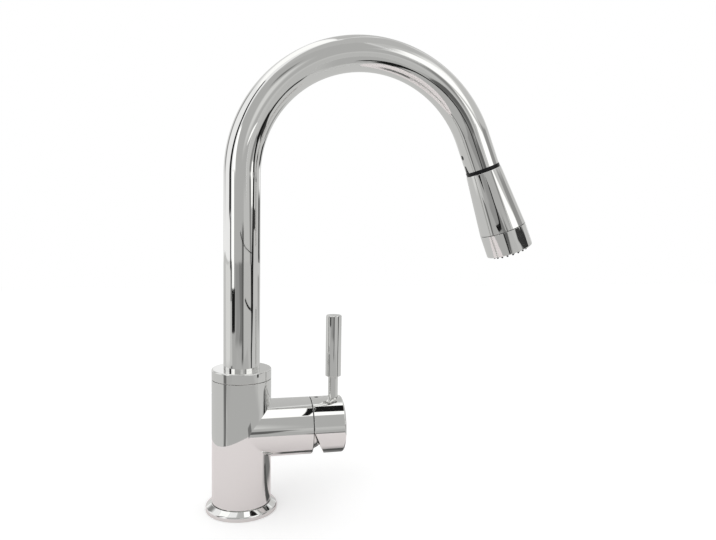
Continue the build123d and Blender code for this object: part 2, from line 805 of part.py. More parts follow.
def disc_carrier():
    end = carrier_start + carrier_height
    carrier = Pos(-disc_travel / 2, 0, 0) * block(carrier_length, carrier_width, carrier_start, end)
    room = 2 * (stem_tip_radius + free_gap)
    return HOUSING * (carrier - block(room + 2 * free_gap, room, end - carrier_pocket, end))


# Lever

def valve_stem():
    hub = block(stem_width, stem_width, pivot_reach - stem_hub, stem_end)
    arm = rod(stem_tip_radius, pivot_reach - stem_tip_arm, pivot_reach)
    tip = Pos(0, 0, pivot_reach - stem_tip_arm) * Sphere(stem_tip_radius)
    pin_bore = PIVOT * rod(stem_pin_radius + running_gap, -stem_width, stem_width)
    return HOUSING * (hub + arm + tip - pin_bore)


def handle_cap():
    """Round cap with a crowned end; its back edge slants away below so that it can tilt."""
    crown = (housing_radius ** 2 + cap_crown ** 2) / (2 * cap_crown)
    top = cap_end + cap_crown
    cap = rod(housing_radius, cap_start, top) & (Pos(0, 0, top - crown) * Sphere(crown))
    cap = fillet(rims(cap, housing_radius, Axis.Z)[-1], cap_edge_round)
    cap = chamfer(rims(cap, housing_radius, Axis.Z)[0], edge_break)
    cap -= rod(cap_bore, cap_start, cap_end - cap_wall)
    cap += rod(boss_radius, boss_start, cap_end - cap_wall)
    cap -= block(stem_width + 2 * slip_gap, stem_width + 2 * slip_gap, boss_start, stem_end + slip_gap)
    cap -= LEVER * rod(neck_thread_radius + slip_gap, 0, housing_radius)
    cap -= LEVER * rod(neck_radius + slip_gap, housing_radius - neck_seat, housing_radius)
    cap -= INDEX * rod(index_radius + slip_gap, cap_bore - cap_wall, housing_radius)
    depth = (housing_radius + cap_cut_rise) * math.tan(math.radians(cap_cut_angle))
    wedge = Polyline((cap_cut_rise, cap_start), (-housing_radius, cap_start + depth),
                     (-housing_radius, cap_start - cap_wall), (cap_cut_rise, cap_start - cap_wall),
                     close=True)
    cap -= extrude(Plane.XZ * make_face(wedge), housing_radius, both=True)
    return HOUSING * cap


def index_plug():
    return HOUSING * INDEX * rod(index_radius, cap_bore, housing_radius - index_recess)


def lever_neck():
    """Rod screwed through the cap's wall and its boss, onto the stem."""
    neck = rod(neck_radius, housing_radius - neck_seat + slip_gap, grip_foot + grip_recess)
    thread = rod(neck_thread_radius, stem_width / 2 + slip_gap, grip_foot + grip_socket - free_gap)
    return HOUSING * LEVER * (neck + thread)


def lever_grip():
    grip = rod(grip_radius, grip_foot, grip_head)
    grip = fillet(rims(grip, grip_radius)[-1], grip_round)
    grip = chamfer(rims(grip, grip_radius)[0], edge_break)
    grip -= rod(neck_radius + edge_break, grip_foot, grip_foot + grip_recess)
    grip -= rod(neck_thread_radius + slip_gap, grip_foot, grip_foot + grip_socket)
    return HOUSING * LEVER * grip


PIECES = (
    base_flange, base_seal, mounting_studs, clamp_gasket, clamp_bracket, stud_nuts,
    faucet_body, spout_stop_screw, thrust_washer,
    swivel_collar, swivel_bush_lower, swivel_bush_upper, spout_tube, docking_insert,
    pull_hose, hose_plug, plug_seals, hose_ferrule, hose_nut,
    head_shell, head_core, core_seal, inlet_washer, check_valve, nozzle_screw,
    nozzle_collar, nozzle_body, spray_face, aerator_shell, aerator_screens,
    cartridge_seals, cartridge_base, fixed_disc, cartridge_shell, bonnet_nut,
    cartridge_turret, stem_pin, moving_disc, disc_carrier,
    valve_stem, handle_cap, index_plug, lever_neck, lever_grip,
)

for make_piece in PIECES:
    export_step(make_piece(), f"parts/{make_piece.__name__}.step")
    print(make_piece.__name__)
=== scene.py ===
"""Looks of a gooseneck kitchen faucet with a pull-out spray head.

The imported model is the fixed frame. Each sub-assembly is a class that models its shells with the bench's
edit-mode moves, dresses them in a finish and lets them ride on the body that carries them. Metres and
degrees throughout. Pieces that nothing shows keep their own solids and get a finish.
"""

import json
import logging
import math
from contextlib import contextmanager
from dataclasses import dataclass
from enum import Enum
from typing import Callable, Iterator, Sequence

import bmesh
import bpy
from mathutils import Matrix, Vector

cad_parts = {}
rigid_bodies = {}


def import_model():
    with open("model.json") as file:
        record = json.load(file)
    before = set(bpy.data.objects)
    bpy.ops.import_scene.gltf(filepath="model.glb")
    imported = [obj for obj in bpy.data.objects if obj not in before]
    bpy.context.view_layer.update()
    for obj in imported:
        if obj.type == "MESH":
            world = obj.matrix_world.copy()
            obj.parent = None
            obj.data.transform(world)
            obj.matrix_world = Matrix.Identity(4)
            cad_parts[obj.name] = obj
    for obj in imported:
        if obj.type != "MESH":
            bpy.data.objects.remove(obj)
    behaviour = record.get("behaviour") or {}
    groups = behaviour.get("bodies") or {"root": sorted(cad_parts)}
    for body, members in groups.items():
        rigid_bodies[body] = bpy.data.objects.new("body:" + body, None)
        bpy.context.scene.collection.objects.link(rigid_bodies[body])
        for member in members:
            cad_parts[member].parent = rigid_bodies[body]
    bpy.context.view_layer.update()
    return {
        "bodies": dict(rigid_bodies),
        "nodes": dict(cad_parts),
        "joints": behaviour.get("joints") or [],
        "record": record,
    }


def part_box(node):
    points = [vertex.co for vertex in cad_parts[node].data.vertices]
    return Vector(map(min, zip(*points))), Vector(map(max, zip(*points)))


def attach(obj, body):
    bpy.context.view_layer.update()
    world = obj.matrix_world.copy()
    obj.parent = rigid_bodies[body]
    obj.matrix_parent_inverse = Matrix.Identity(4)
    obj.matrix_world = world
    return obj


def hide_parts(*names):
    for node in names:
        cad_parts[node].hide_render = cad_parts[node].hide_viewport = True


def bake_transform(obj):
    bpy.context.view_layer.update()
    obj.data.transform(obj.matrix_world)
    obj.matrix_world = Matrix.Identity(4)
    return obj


logging.basicConfig(level=logging.INFO, format="%(message)s")
log = logging.getLogger("faucet")

Piece = bpy.types.Object
Colour = tuple[float, float, float]

SAME_PLACE = 2e-5
FULL_TURN = math.tau
ROUND_STEPS = 160
FINE_STEPS = 96
SMALL_STEPS = 48
SMOOTH_ANGLE = 32.0


class Body(Enum):
    """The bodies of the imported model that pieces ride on."""

    BASE = "base"
    SPOUT = "spout"
    HEAD = "head"
    NOZZLE = "nozzle"
    LEVER = "lever"


class Slot(Enum):
    """The record's material slots."""

    CHROME = "chrome"
    STEEL = "steel"
    BRASS = "brass"
    BLACK_RUBBER = "black_rubber"
    BLACK_PLASTIC = "black_plastic"
    FACE_RUBBER = "face_rubber"
    WHITE_PLASTIC = "white_plastic"
    GREY_PLASTIC = "grey_plastic"
    CERAMIC = "ceramic"
    HOSE_BRAID = "hose_braid"


# The bench: moves that shape every piece

@dataclass(frozen=True)
class Corner:
    """One corner of a turned outline, and how far it is rounded."""

    radius: float
    height: float
    rounding: float = 0.0


@dataclass(frozen=True)
class RoundForm:
    """A cylinder whose skin keeps its exact normals after cuts."""

    centre: Vector
    axis: Vector
    radius: float

    def holds(self, point: Vector) -> bool:
        """Tell whether a point lies on the cylinder's skin."""
        return abs(self.outward(point).length - self.radius) < SAME_PLACE

    def outward(self, point: Vector) -> Vector:
        """Give the arm from the cylinder's axis to a point."""
        arm = point - self.centre
        return arm - arm.dot(self.axis) * self.axis


def clear_selection() -> None:
    """Leave edit mode and deselect everything."""
    active = bpy.context.view_layer.objects.active
    if active is not None and active.mode != "OBJECT":
        bpy.ops.object.mode_set(mode="OBJECT")
    bpy.ops.object.select_all(action="DESELECT")


def make_active(piece: Piece) -> None:
    """Select one piece alone.

    Args:
        piece: The piece that the next operator works on.
    """
    clear_selection()
    piece.select_set(True)
    bpy.context.view_layer.objects.active = piece


@contextmanager
def editing(piece: Piece, mode: str = "EDGE") -> Iterator[None]:
    """Open a piece in edit mode with nothing selected, and close it again.

    Args:
        piece: The piece to edit.
        mode: VERT, EDGE or FACE selection.
    """
    make_active(piece)
    bpy.ops.object.mode_set(mode="EDIT")
    bpy.ops.mesh.select_mode(type=mode)
    bpy.ops.mesh.select_all(action="DESELECT")
    yield
    bpy.ops.object.mode_set(mode="OBJECT")


def pick_edges(piece: Piece, test: Callable[[Vector, Vector], bool]) -> None:
    """Select the edges whose two ends pass a test, in edit mode.

    Args:
        piece: The piece in edit mode.
        test: Takes the edge's two ends.
    """
    mesh = bmesh.from_edit_mesh(piece.data)
    for edge in mesh.edges:
        edge.select_set(test(edge.verts[0].co, edge.verts[1].co))
    mesh.select_flush_mode()
    bmesh.update_edit_mesh(piece.data)


def pick_faces(piece: Piece, test: Callable[[Vector, Vector], bool]) -> None:
    """Select the faces whose middle and normal pass a test, in edit mode.

    Args:
        piece: The piece in edit mode, in face mode.
        test: Takes the face's middle and its normal.
    """
    mesh = bmesh.from_edit_mesh(piece.data)
    for face in mesh.faces:
        face.select_set(test(face.calc_center_median(), face.normal))
    bmesh.update_edit_mesh(piece.data)


def name_piece(name: str) -> Piece:
    """Name the new primitive and put its place into its mesh.

    Args:
        name: Name of the object and its mesh.

    Returns:
        The piece, at the origin.
    """
    piece = bpy.context.view_layer.objects.active
    piece.name = name
    piece.data.name = name
    bpy.ops.object.transform_apply(location=True, rotation=True, scale=True)
    return piece


def place(piece: Piece, frame: Matrix) -> Piece:
    """Carry a piece that was shaped about the origin into its frame.

    Args:
        piece: The piece, shaped about the origin.
        frame: Where its origin and axes go.

    Returns:
        The same piece, with its place in its mesh.
    """
    make_active(piece)
    piece.matrix_world = frame
    bpy.ops.object.transform_apply(location=True, rotation=True, scale=True)
    return piece


def modify(piece: Piece, kind: str, **settings: object) -> Piece:
    """Add a modifier and apply it.

    Args:
        piece: The piece to work on.
        kind: The modifier's type.
        settings: The modifier's own settings.

    Returns:
        The same piece.
    """
    make_active(piece)
    modifier = piece.modifiers.new(kind.lower(), kind)
    for key, value in settings.items():
        setattr(modifier, key, value)
    bpy.ops.object.modifier_apply(modifier=modifier.name)
    return piece


def combine(piece: Piece, tool: Piece, operation: str) -> Piece:
    """Cut, join or intersect a piece with a tool, which is used up.

    Args:
        piece: The piece that stays.
        tool: The other solid.
        operation: DIFFERENCE, UNION or INTERSECT.

    Returns:
        The piece.
    """
    modify(piece, "BOOLEAN", object=tool, operation=operation, solver="EXACT")
    mesh = tool.data
    bpy.data.objects.remove(tool)
    bpy.data.meshes.remove(mesh)
    return piece


def cut(piece: Piece, *tools: Piece) -> Piece:
    """Cut solids out of a piece.

    Args:
        piece: The piece to cut.
        tools: The solids that are taken away.

    Returns:
        The piece.
    """
    for tool in tools:
        combine(piece, tool, "DIFFERENCE")
    return piece


def join(name: str, pieces: Sequence[Piece]) -> Piece:
    """Make one piece of several.

    Args:
        name: Name of the joined piece.
        pieces: The pieces to join.

    Returns:
        The joined piece.
    """
    make_active(pieces[0])
    for piece in pieces[1:]:
        piece.select_set(True)
    bpy.ops.object.join()
    return name_piece(name)


def repeat(piece: Piece, frames: Sequence[Matrix]) -> list[Piece]:
    """Copy a piece to several frames, each copy with its own mesh, and use up the first.

    Args:
        piece: The piece, shaped about the origin.
        frames: Where the copies go.

    Returns:
        The copies.
    """
    copies = []
    for frame in frames:
        make_active(piece)
        bpy.ops.object.duplicate()
        copies.append(place(bpy.context.view_layer.objects.active, frame))
    bpy.data.objects.remove(piece)
    return copies


def smooth(piece: Piece, angle: float = SMOOTH_ANGLE) -> Piece:
    """Shade a piece smoothly with flat faces left flat.

    Args:
        piece: The piece to shade.
        angle: Edges sharper than this stay sharp.

    Returns:
        The piece.
    """
    make_active(piece)
    bpy.ops.object.shade_smooth_by_angle(angle=math.radians(angle))
    return modify(piece, "WEIGHTED_NORMAL", keep_sharp=True)


def keep_round(piece: Piece, forms: Sequence[RoundForm], angle: float = SMOOTH_ANGLE) -> Piece:
    """Shade a piece smoothly, with the exact normals of its cylinders where cuts left uneven faces.

    Args:
        piece: The piece to shade.
        forms: The cylinders that its skin follows.
        angle: Edges sharper than this stay sharp.

    Returns:
        The piece.
    """
    smooth(piece, angle)
    mesh = piece.data
    normals = [corner.vector.copy() for corner in mesh.corner_normals]
    for face in mesh.polygons:
        points = [mesh.vertices[index].co for index in face.vertices]
        for form in forms:
            if all(form.holds(point) for point in points):
                middle = form.outward(face.center)
                side = 1.0 if middle.dot(face.normal) > 0 else -1.0
                if abs(middle.normalized().dot(face.normal)) > math.cos(math.radians(angle)):
                    for loop in face.loop_indices:
                        point = mesh.vertices[mesh.loops[loop].vertex_index].co
                        normals[loop] = form.outward(point).normalized() * side
                break
    mesh.normals_split_custom_set(normals)
    return piece


def rod(name: str, radius: float, start: float, end: float, steps: int = FINE_STEPS) -> Piece:
    """Round bar along Z.

    Args:
        name: Name of the piece.
        radius: Its radius.
        start: Height of its lower end.
        end: Height of its upper end.
        steps: Facets round it.

    Returns:
        The closed bar.
    """
    clear_selection()
    bpy.ops.mesh.primitive_cylinder_add(
        vertices=steps, radius=radius, depth=end - start, location=(0, 0, (start + end) / 2))
    return name_piece(name)


def block(name: str, size: Sequence[float], centre: Sequence[float]) -> Piece:
    """Square-edged bar.

    Args:
        name: Name of the piece.
        size: Its length, width and height.
        centre: Its middle.

    Returns:
        The closed bar.
    """
    clear_selection()
    bpy.ops.mesh.primitive_cube_add(size=1, location=centre, scale=size)
    return name_piece(name)


def lathe(name: str, outline: Sequence[Corner], steps: int = ROUND_STEPS, segments: int = 5,
          closed: bool = True) -> Piece:
    """Turn an outline about Z, ring by ring, and round its corners.

    Args:
        name: Name of the piece.
        outline: The outline's corners, counted so that the piece has a bore if it is closed.
        steps: Facets round the piece.
        segments: Facets across each rounded corner.
        closed: Whether the outline comes back to its start. An open one ends in two flat discs.

    Returns:
        The closed solid.
    """
    clear_selection()
    first = outline[0]
    bpy.ops.mesh.primitive_circle_add(vertices=steps, radius=first.radius, location=(0, 0, first.height))
    piece = name_piece(name)
    corners = list(outline[1:]) + ([first] if closed else [])
    with editing(piece):
        bpy.ops.mesh.select_all(action="SELECT")
        if not closed:
            bpy.ops.mesh.edge_face_add()
            pick_edges(piece, lambda a, b: True)
        before = first
        for corner in corners:
            rise = corner.height - before.height
            spread = corner.radius / before.radius
            bpy.ops.mesh.extrude_edges_move(TRANSFORM_OT_translate={"value": (0, 0, rise)})
            bpy.ops.transform.resize(value=(spread, spread, 1), center_override=(0, 0, corner.height))
            before = corner
        if not closed:
            bpy.ops.mesh.edge_face_add()
        bpy.ops.mesh.select_all(action="SELECT")
        bpy.ops.mesh.remove_doubles(threshold=SAME_PLACE / 4)
        bpy.ops.mesh.normals_make_consistent(inside=False)
    for corner in outline:
        if corner.rounding > 0:
            round_rim(piece, corner.radius, corner.height, corner.rounding, segments)
    return piece


def round_rim(piece: Piece, radius: float, height: float, rounding: float, segments: int = 5) -> None:
    """Round the circular edge of a turned piece at one radius and height.

    Args:
        piece: The turned piece.
        radius: Radius of the edge.
        height: Height of the edge.
        rounding: Radius of the rounding.
        segments: Facets across it.
    """
    def on_rim(point: Vector) -> bool:
        return abs(point.xy.length - radius) < SAME_PLACE and abs(point.z - height) < SAME_PLACE

    with editing(piece):
        pick_edges(piece, lambda a, b: on_rim(a) and on_rim(b))
        bpy.ops.mesh.bevel(offset=rounding, offset_type="OFFSET", segments=segments, profile=0.5,
                           affect="EDGES", clamp_overlap=True)


def round_angles(piece: Piece, width: float, segments: int = 3, limit: float = 40.0) -> Piece:
    """Round every sharp edge of a piece alike.

    Args:
        piece: The piece.
        width: Radius of the rounding.
        segments: Facets across it.
        limit: Edges flatter than this stay.

    Returns:
        The piece.
    """
    return modify(piece, "BEVEL", width=width, segments=segments, limit_method="ANGLE",
                  angle_limit=math.radians(limit), use_clamp_overlap=True)


def axes(origin: Vector, x_axis: Vector, z_axis: Vector) -> Matrix:
    """Give the frame with an origin, an X axis and a Z axis.

    Args:
        origin: Where the frame's origin lies.
        x_axis: Direction of its X axis.
        z_axis: Direction of its Z axis, square to the X axis.

    Returns:
        The frame as a matrix.
    """
    z_unit = z_axis.normalized()
    x_unit = x_axis.normalized()
    y_unit = z_unit.cross(x_unit)
    turn = Matrix((x_unit, y_unit, z_unit)).transposed()
    return Matrix.Translation(origin) @ turn.to_4x4()


def spun(angle: float, radius: float = 0.0) -> Matrix:
    """Give the frame on a circle about Z at an angle in degrees.

    Args:
        angle: Turn about Z.
        radius: Distance from the axis.

    Returns:
        The frame as a matrix.
    """
    return Matrix.Rotation(math.radians(angle), 4, "Z") @ Matrix.Translation((radius, 0, 0))


# Shader groups and finishes

class Patterns:
    """Shader groups that several finishes share, each built once."""

    _made: dict[str, bpy.types.NodeTree] = {}

    @classmethod
    def group(cls, name: str, inputs: dict[str, float], outputs: dict[str, str],
              build: Callable[[bpy.types.NodeTree, bpy.types.Node, bpy.types.Node], None]
              ) -> bpy.types.NodeTree:
        """Give a shader group, and build it the first time.

        Args:
            name: The group's name.
            inputs: Names and defaults of its number inputs. Vector is added first.
            outputs: Names and socket types of its outputs.
            build: Fills the group between its input and output nodes.

        Returns:
            The group.
        """
        if name in cls._made:
            return cls._made[name]
        tree = bpy.data.node_groups.new(name, "ShaderNodeTree")
        tree.interface.new_socket("Vector", in_out="INPUT", socket_type="NodeSocketVector")
        for key, value in inputs.items():
            socket = tree.interface.new_socket(key, in_out="INPUT", socket_type="NodeSocketFloat")
            socket.default_value = value
        for key, kind in outputs.items():
            tree.interface.new_socket(key, in_out="OUTPUT", socket_type=kind)
        build(tree, tree.nodes.new("NodeGroupInput"), tree.nodes.new("NodeGroupOutput"))
        cls._made[name] = tree
        return tree

    @classmethod
    def polish(cls) -> bpy.types.NodeTree:
        """Hairline wiping marks and dried-water smudges of a polished surface."""
        def build(tree: bpy.types.NodeTree, given: bpy.types.Node, out: bpy.types.Node) -> None:
            hair = new_noise(tree, given, "Hairline Scale", detail=2.0)
            smudge = new_noise(tree, given, "Smudge Scale", detail=4.0)
            spread = tree.nodes.new("ShaderNodeMapRange")
            spread.inputs["From Min"].default_value = 0.42
            spread.inputs["From Max"].default_value = 0.72
            tree.links.new(smudge.outputs["Fac"], spread.inputs["Value"])
            tree.links.new(given.outputs["Clean Roughness"], spread.inputs["To Min"])
            tree.links.new(given.outputs["Smudged Roughness"], spread.inputs["To Max"])
            tree.links.new(spread.outputs["Result"], out.inputs["Roughness"])
            tree.links.new(hair.outputs["Fac"], out.inputs["Height"])

        return cls.group("polish_marks",
                         {"Hairline Scale": 900.0, "Smudge Scale": 26.0, "Clean Roughness": 0.03,
                          "Smudged Roughness": 0.07},
                         {"Roughness": "NodeSocketFloat", "Height": "NodeSocketFloat"}, build)

    @classmethod
    def grain(cls) -> bpy.types.NodeTree:
        """Fine grain of a moulded, cast or rubber surface, with a slow change of shade."""
        def build(tree: bpy.types.NodeTree, given: bpy.types.Node, out: bpy.types.Node) -> None:
            grain = new_noise(tree, given, "Grain Scale", detail=3.0)
            cloud = new_noise(tree, given, "Cloud Scale", detail=2.0)
            shade = tree.nodes.new("ShaderNodeMapRange")
            shade.inputs["From Min"].default_value = 0.3
            shade.inputs["From Max"].default_value = 0.7
            tree.links.new(cloud.outputs["Fac"], shade.inputs["Value"])
            tree.links.new(given.outputs["Darkest"], shade.inputs["To Min"])
            tree.links.new(given.outputs["Lightest"], shade.inputs["To Max"])
            tree.links.new(grain.outputs["Fac"], out.inputs["Height"])
            tree.links.new(shade.outputs["Result"], out.inputs["Shade"])

        return cls.group("moulded_grain",
                         {"Grain Scale": 2500.0, "Cloud Scale": 90.0, "Darkest": 0.0, "Lightest": 1.0},
                         {"Height": "NodeSocketFloat", "Shade": "NodeSocketFloat"}, build)

    @classmethod
    def turning(cls) -> bpy.types.NodeTree:
        """Tool marks of a lathe: fine rings along the Z axis of the given coordinates."""
        def build(tree: bpy.types.NodeTree, given: bpy.types.Node, out: bpy.types.Node) -> None:
            wave = tree.nodes.new("ShaderNodeTexWave")
            wave.bands_direction = "Z"
            wave.inputs["Distortion"].default_value = 1.5
            wave.inputs["Detail"].default_value = 1.0
            tree.links.new(given.outputs["Vector"], wave.inputs["Vector"])
            tree.links.new(given.outputs["Ring Scale"], wave.inputs["Scale"])
            tree.links.new(wave.outputs["Fac"], out.inputs["Height"])

        return cls.group("turning_rings", {"Ring Scale": 900.0}, {"Height": "NodeSocketFloat"}, build)

    @classmethod
    def braid(cls) -> bpy.types.NodeTree:
        """Diagonal plaits round the Z axis of the given coordinates, with a dark tracer thread."""
        def build(tree: bpy.types.NodeTree, given: bpy.types.Node, out: bpy.types.Node) -> None:
            split = tree.nodes.new("ShaderNodeSeparateXYZ")
            tree.links.new(given.outputs["Vector"], split.inputs[0])
            turn = new_math(tree, "ARCTAN2", split.outputs["Y"], split.outputs["X"])
            turn = new_math(tree, "MULTIPLY", turn, given.outputs["Plaits"])
            climb = new_math(tree, "MULTIPLY", split.outputs["Z"], given.outputs["Climb"])
            right = new_math(tree, "SINE", new_math(tree, "ADD", turn, climb))
            left = new_math(tree, "SINE", new_math(tree, "SUBTRACT", turn, climb))
            weave = new_math(tree, "MAXIMUM", new_math(tree, "ABSOLUTE", right),
                             new_math(tree, "ABSOLUTE", left))
            tracer = new_math(tree, "GREATER_THAN", new_math(tree, "MULTIPLY", right, left),
                              given.outputs["Tracer"])
            tree.links.new(weave, out.inputs["Height"])
            tree.links.new(tracer, out.inputs["Tracer"])

        return cls.group("plaited_braid", {"Plaits": 8.0, "Climb": 1400.0, "Tracer": 0.55},
                         {"Height": "NodeSocketFloat", "Tracer": "NodeSocketFloat"}, build)


def new_noise(tree: bpy.types.NodeTree, given: bpy.types.Node, scale: str, detail: float
              ) -> bpy.types.Node:
    """Add a noise texture whose scale is one of the group's inputs.

    Args:
        tree: The group.
        given: The group's input node.
        scale: Name of the input that sets the scale.
        detail: Levels of detail.

    Returns:
        The noise node.
    """
    noise = tree.nodes.new("ShaderNodeTexNoise")
    noise.inputs["Detail"].default_value = detail
    tree.links.new(given.outputs["Vector"], noise.inputs["Vector"])
    tree.links.new(given.outputs[scale], noise.inputs["Scale"])
    return noise


def new_math(tree: bpy.types.NodeTree, operation: str, *values: bpy.types.NodeSocket
             ) -> bpy.types.NodeSocket:
    """Add a math node.

    Args:
        tree: The node tree.
        operation: What the node does.
        values: The sockets that it takes.

    Returns:
        Its output socket.
    """
    node = tree.nodes.new("ShaderNodeMath")
    node.operation = operation
    for index, value in enumerate(values):
        tree.links.new(value, node.inputs[index])
    return node.outputs[0]


@dataclass(frozen=True)
class Finish:
    """A surface: the shader's own settings, and how strongly its pattern shows."""

    name: str
    colour: Colour
    roughness: float
    metallic: float = 0.0
    coat: float = 0.0
    specular: float = 0.5
    bump: float = 0.1
    bump_depth: float = 0.00002

    def start(self) -> tuple[bpy.types.Material, bpy.types.NodeTree, bpy.types.Node]:
        """Make the material with its plain shader settings.

        Returns:
            The material, its node tree and its Principled shader.
        """
        material = bpy.data.materials.new(self.name)
        material.use_nodes = True
        material.diffuse_color = (*self.colour, 1.0)
        shader = material.node_tree.nodes["Principled BSDF"]
        shader.inputs["Base Color"].default_value = (*self.colour, 1.0)
        shader.inputs["Metallic"].default_value = self.metallic
        shader.inputs["Roughness"].default_value = self.roughness
        shader.inputs["Coat Weight"].default_value = self.coat
        shader.inputs["Specular IOR Level"].default_value = self.specular
        return material, material.node_tree, shader

    def relief(self, tree: bpy.types.NodeTree, shader: bpy.types.Node, height: bpy.types.NodeSocket
               ) -> None:
        """Lead a height through a Bump node to the shader.

        Args:
            tree: The material's nodes.
            shader: Its Principled shader.
            height: The height to show.
        """
        bump = tree.nodes.new("ShaderNodeBump")
        bump.inputs["Strength"].default_value = self.bump
        bump.inputs["Distance"].default_value = self.bump_depth
        tree.links.new(height, bump.inputs["Height"])
        tree.links.new(bump.outputs["Normal"], shader.inputs["Normal"])

    def pattern(self, tree: bpy.types.NodeTree, group: bpy.types.NodeTree, values: dict[str, float],
                frame: Matrix | None = None) -> bpy.types.Node:
        """Place a shader group on object coordinates.

        Args:
            tree: The material's nodes.
            group: The shader group.
            values: Its inputs for this finish.
            frame: The frame that centres and turns the pattern.

        Returns:
            The group node.
        """
        where = tree.nodes.new("ShaderNodeTexCoord")
        node = tree.nodes.new("ShaderNodeGroup")
        node.node_tree = group
        source = where.outputs["Object"]
        if frame is not None:
            turn = tree.nodes.new("ShaderNodeMapping")
            turn.vector_type = "TEXTURE"
            turn.inputs["Location"].default_value = frame.to_translation()
            turn.inputs["Rotation"].default_value = frame.to_euler()
            tree.links.new(source, turn.inputs["Vector"])
            source = turn.outputs["Vector"]
        tree.links.new(source, node.inputs["Vector"])
        for key, value in values.items():
            node.inputs[key].default_value = value
        return node


@dataclass(frozen=True)
class Plated(Finish):
    """Polished plating with wiping marks and faint smudges."""

    smudged: float = 0.06

    def make(self) -> bpy.types.Material:
        """Build the material."""
        material, tree, shader = self.start()
        marks = self.pattern(tree, Patterns.polish(), {"Clean Roughness": self.roughness,
                                                       "Smudged Roughness": self.smudged})
        tree.links.new(marks.outputs["Roughness"], shader.inputs["Roughness"])
        self.relief(tree, shader, marks.outputs["Height"])
        return material


@dataclass(frozen=True)
class Moulded(Finish):
    """Moulded plastic, rubber or ceramic with a fine grain and a slow change of shade."""

    lighter: Colour = (0.1, 0.1, 0.1)
    grain_scale: float = 2500.0

    def make(self) -> bpy.types.Material:
        """Build the material."""
        material, tree, shader = self.start()
        grain = self.pattern(tree, Patterns.grain(), {"Grain Scale": self.grain_scale})
        mix = tree.nodes.new("ShaderNodeMix")
        mix.data_type = "RGBA"
        mix.inputs["A"].default_value = (*self.colour, 1.0)
        mix.inputs["B"].default_value = (*self.lighter, 1.0)
        tree.links.new(grain.outputs["Shade"], mix.inputs["Factor"])
        tree.links.new(mix.outputs["Result"], shader.inputs["Base Color"])
        self.relief(tree, shader, grain.outputs["Height"])
        return material


@dataclass(frozen=True)
class Machined(Finish):
    """Bare metal with the rings that a lathe leaves."""

    ring_scale: float = 900.0

    def make(self, frame: Matrix | None = None) -> bpy.types.Material:
        """Build the material.

        Args:
            frame: The frame whose Z axis the rings go round.

        Returns:
            The material.
        """
        material, tree, shader = self.start()
        rings = self.pattern(tree, Patterns.turning(), {"Ring Scale": self.ring_scale}, frame)
        self.relief(tree, shader, rings.outputs["Height"])
        marks = self.pattern(tree, Patterns.polish(), {"Clean Roughness": self.roughness,
                                                       "Smudged Roughness": self.roughness * 1.5})
        tree.links.new(marks.outputs["Roughness"], shader.inputs["Roughness"])
        return material


@dataclass(frozen=True)
class Braided(Finish):
    """Plaited sleeve of a hose."""

    tracer: Colour = (0.02, 0.02, 0.022)

    def make(self, frame: Matrix | None = None) -> bpy.types.Material:
        """Build the material.

        Args:
            frame: The frame whose Z axis the plaits go round.

        Returns:
            The material.
        """
        material, tree, shader = self.start()
        braid = self.pattern(tree, Patterns.braid(), {}, frame)
        mix = tree.nodes.new("ShaderNodeMix")
        mix.data_type = "RGBA"
        mix.inputs["A"].default_value = (*self.colour, 1.0)
        mix.inputs["B"].default_value = (*self.tracer, 1.0)
        tree.links.new(braid.outputs["Tracer"], mix.inputs["Factor"])
        tree.links.new(mix.outputs["Result"], shader.inputs["Base Color"])
        self.relief(tree, shader, braid.outputs["Height"])
        return material


CHROME = Plated("polished_chrome", (0.80, 0.80, 0.79), 0.025, metallic=1.0, smudged=0.05, bump=0.02,
                bump_depth=0.000004)
STEEL = Machined("stainless_steel", (0.60, 0.60, 0.60), 0.28, metallic=1.0, bump=0.15)
BRASS = Machined("turned_brass", (0.72, 0.55, 0.28), 0.24, metallic=1.0, bump=0.15)
BLACK_RUBBER = Moulded("black_rubber", (0.018, 0.018, 0.018), 0.6, lighter=(0.035, 0.035, 0.035))
BLACK_PLASTIC = Moulded("black_plastic", (0.006, 0.006, 0.007), 0.25, lighter=(0.011, 0.011, 0.012),
                        specular=0.16, bump=0.05)
FACE_RUBBER = Moulded("face_rubber", (0.007, 0.007, 0.008), 0.42, lighter=(0.014, 0.014, 0.015),
                      specular=0.2)
WHITE_PLASTIC = Moulded("white_plastic", (0.74, 0.74, 0.71), 0.35, lighter=(0.8, 0.8, 0.78))
GREY_PLASTIC = Moulded("grey_plastic", (0.12, 0.125, 0.13), 0.35, lighter=(0.16, 0.165, 0.17))
CERAMIC = Moulded("lapped_ceramic", (0.82, 0.81, 0.77), 0.16, lighter=(0.86, 0.85, 0.82), bump=0.02)
HOSE_BRAID = Braided("braided_nylon", (0.26, 0.26, 0.28), 0.45, bump=0.6, bump_depth=0.0003)


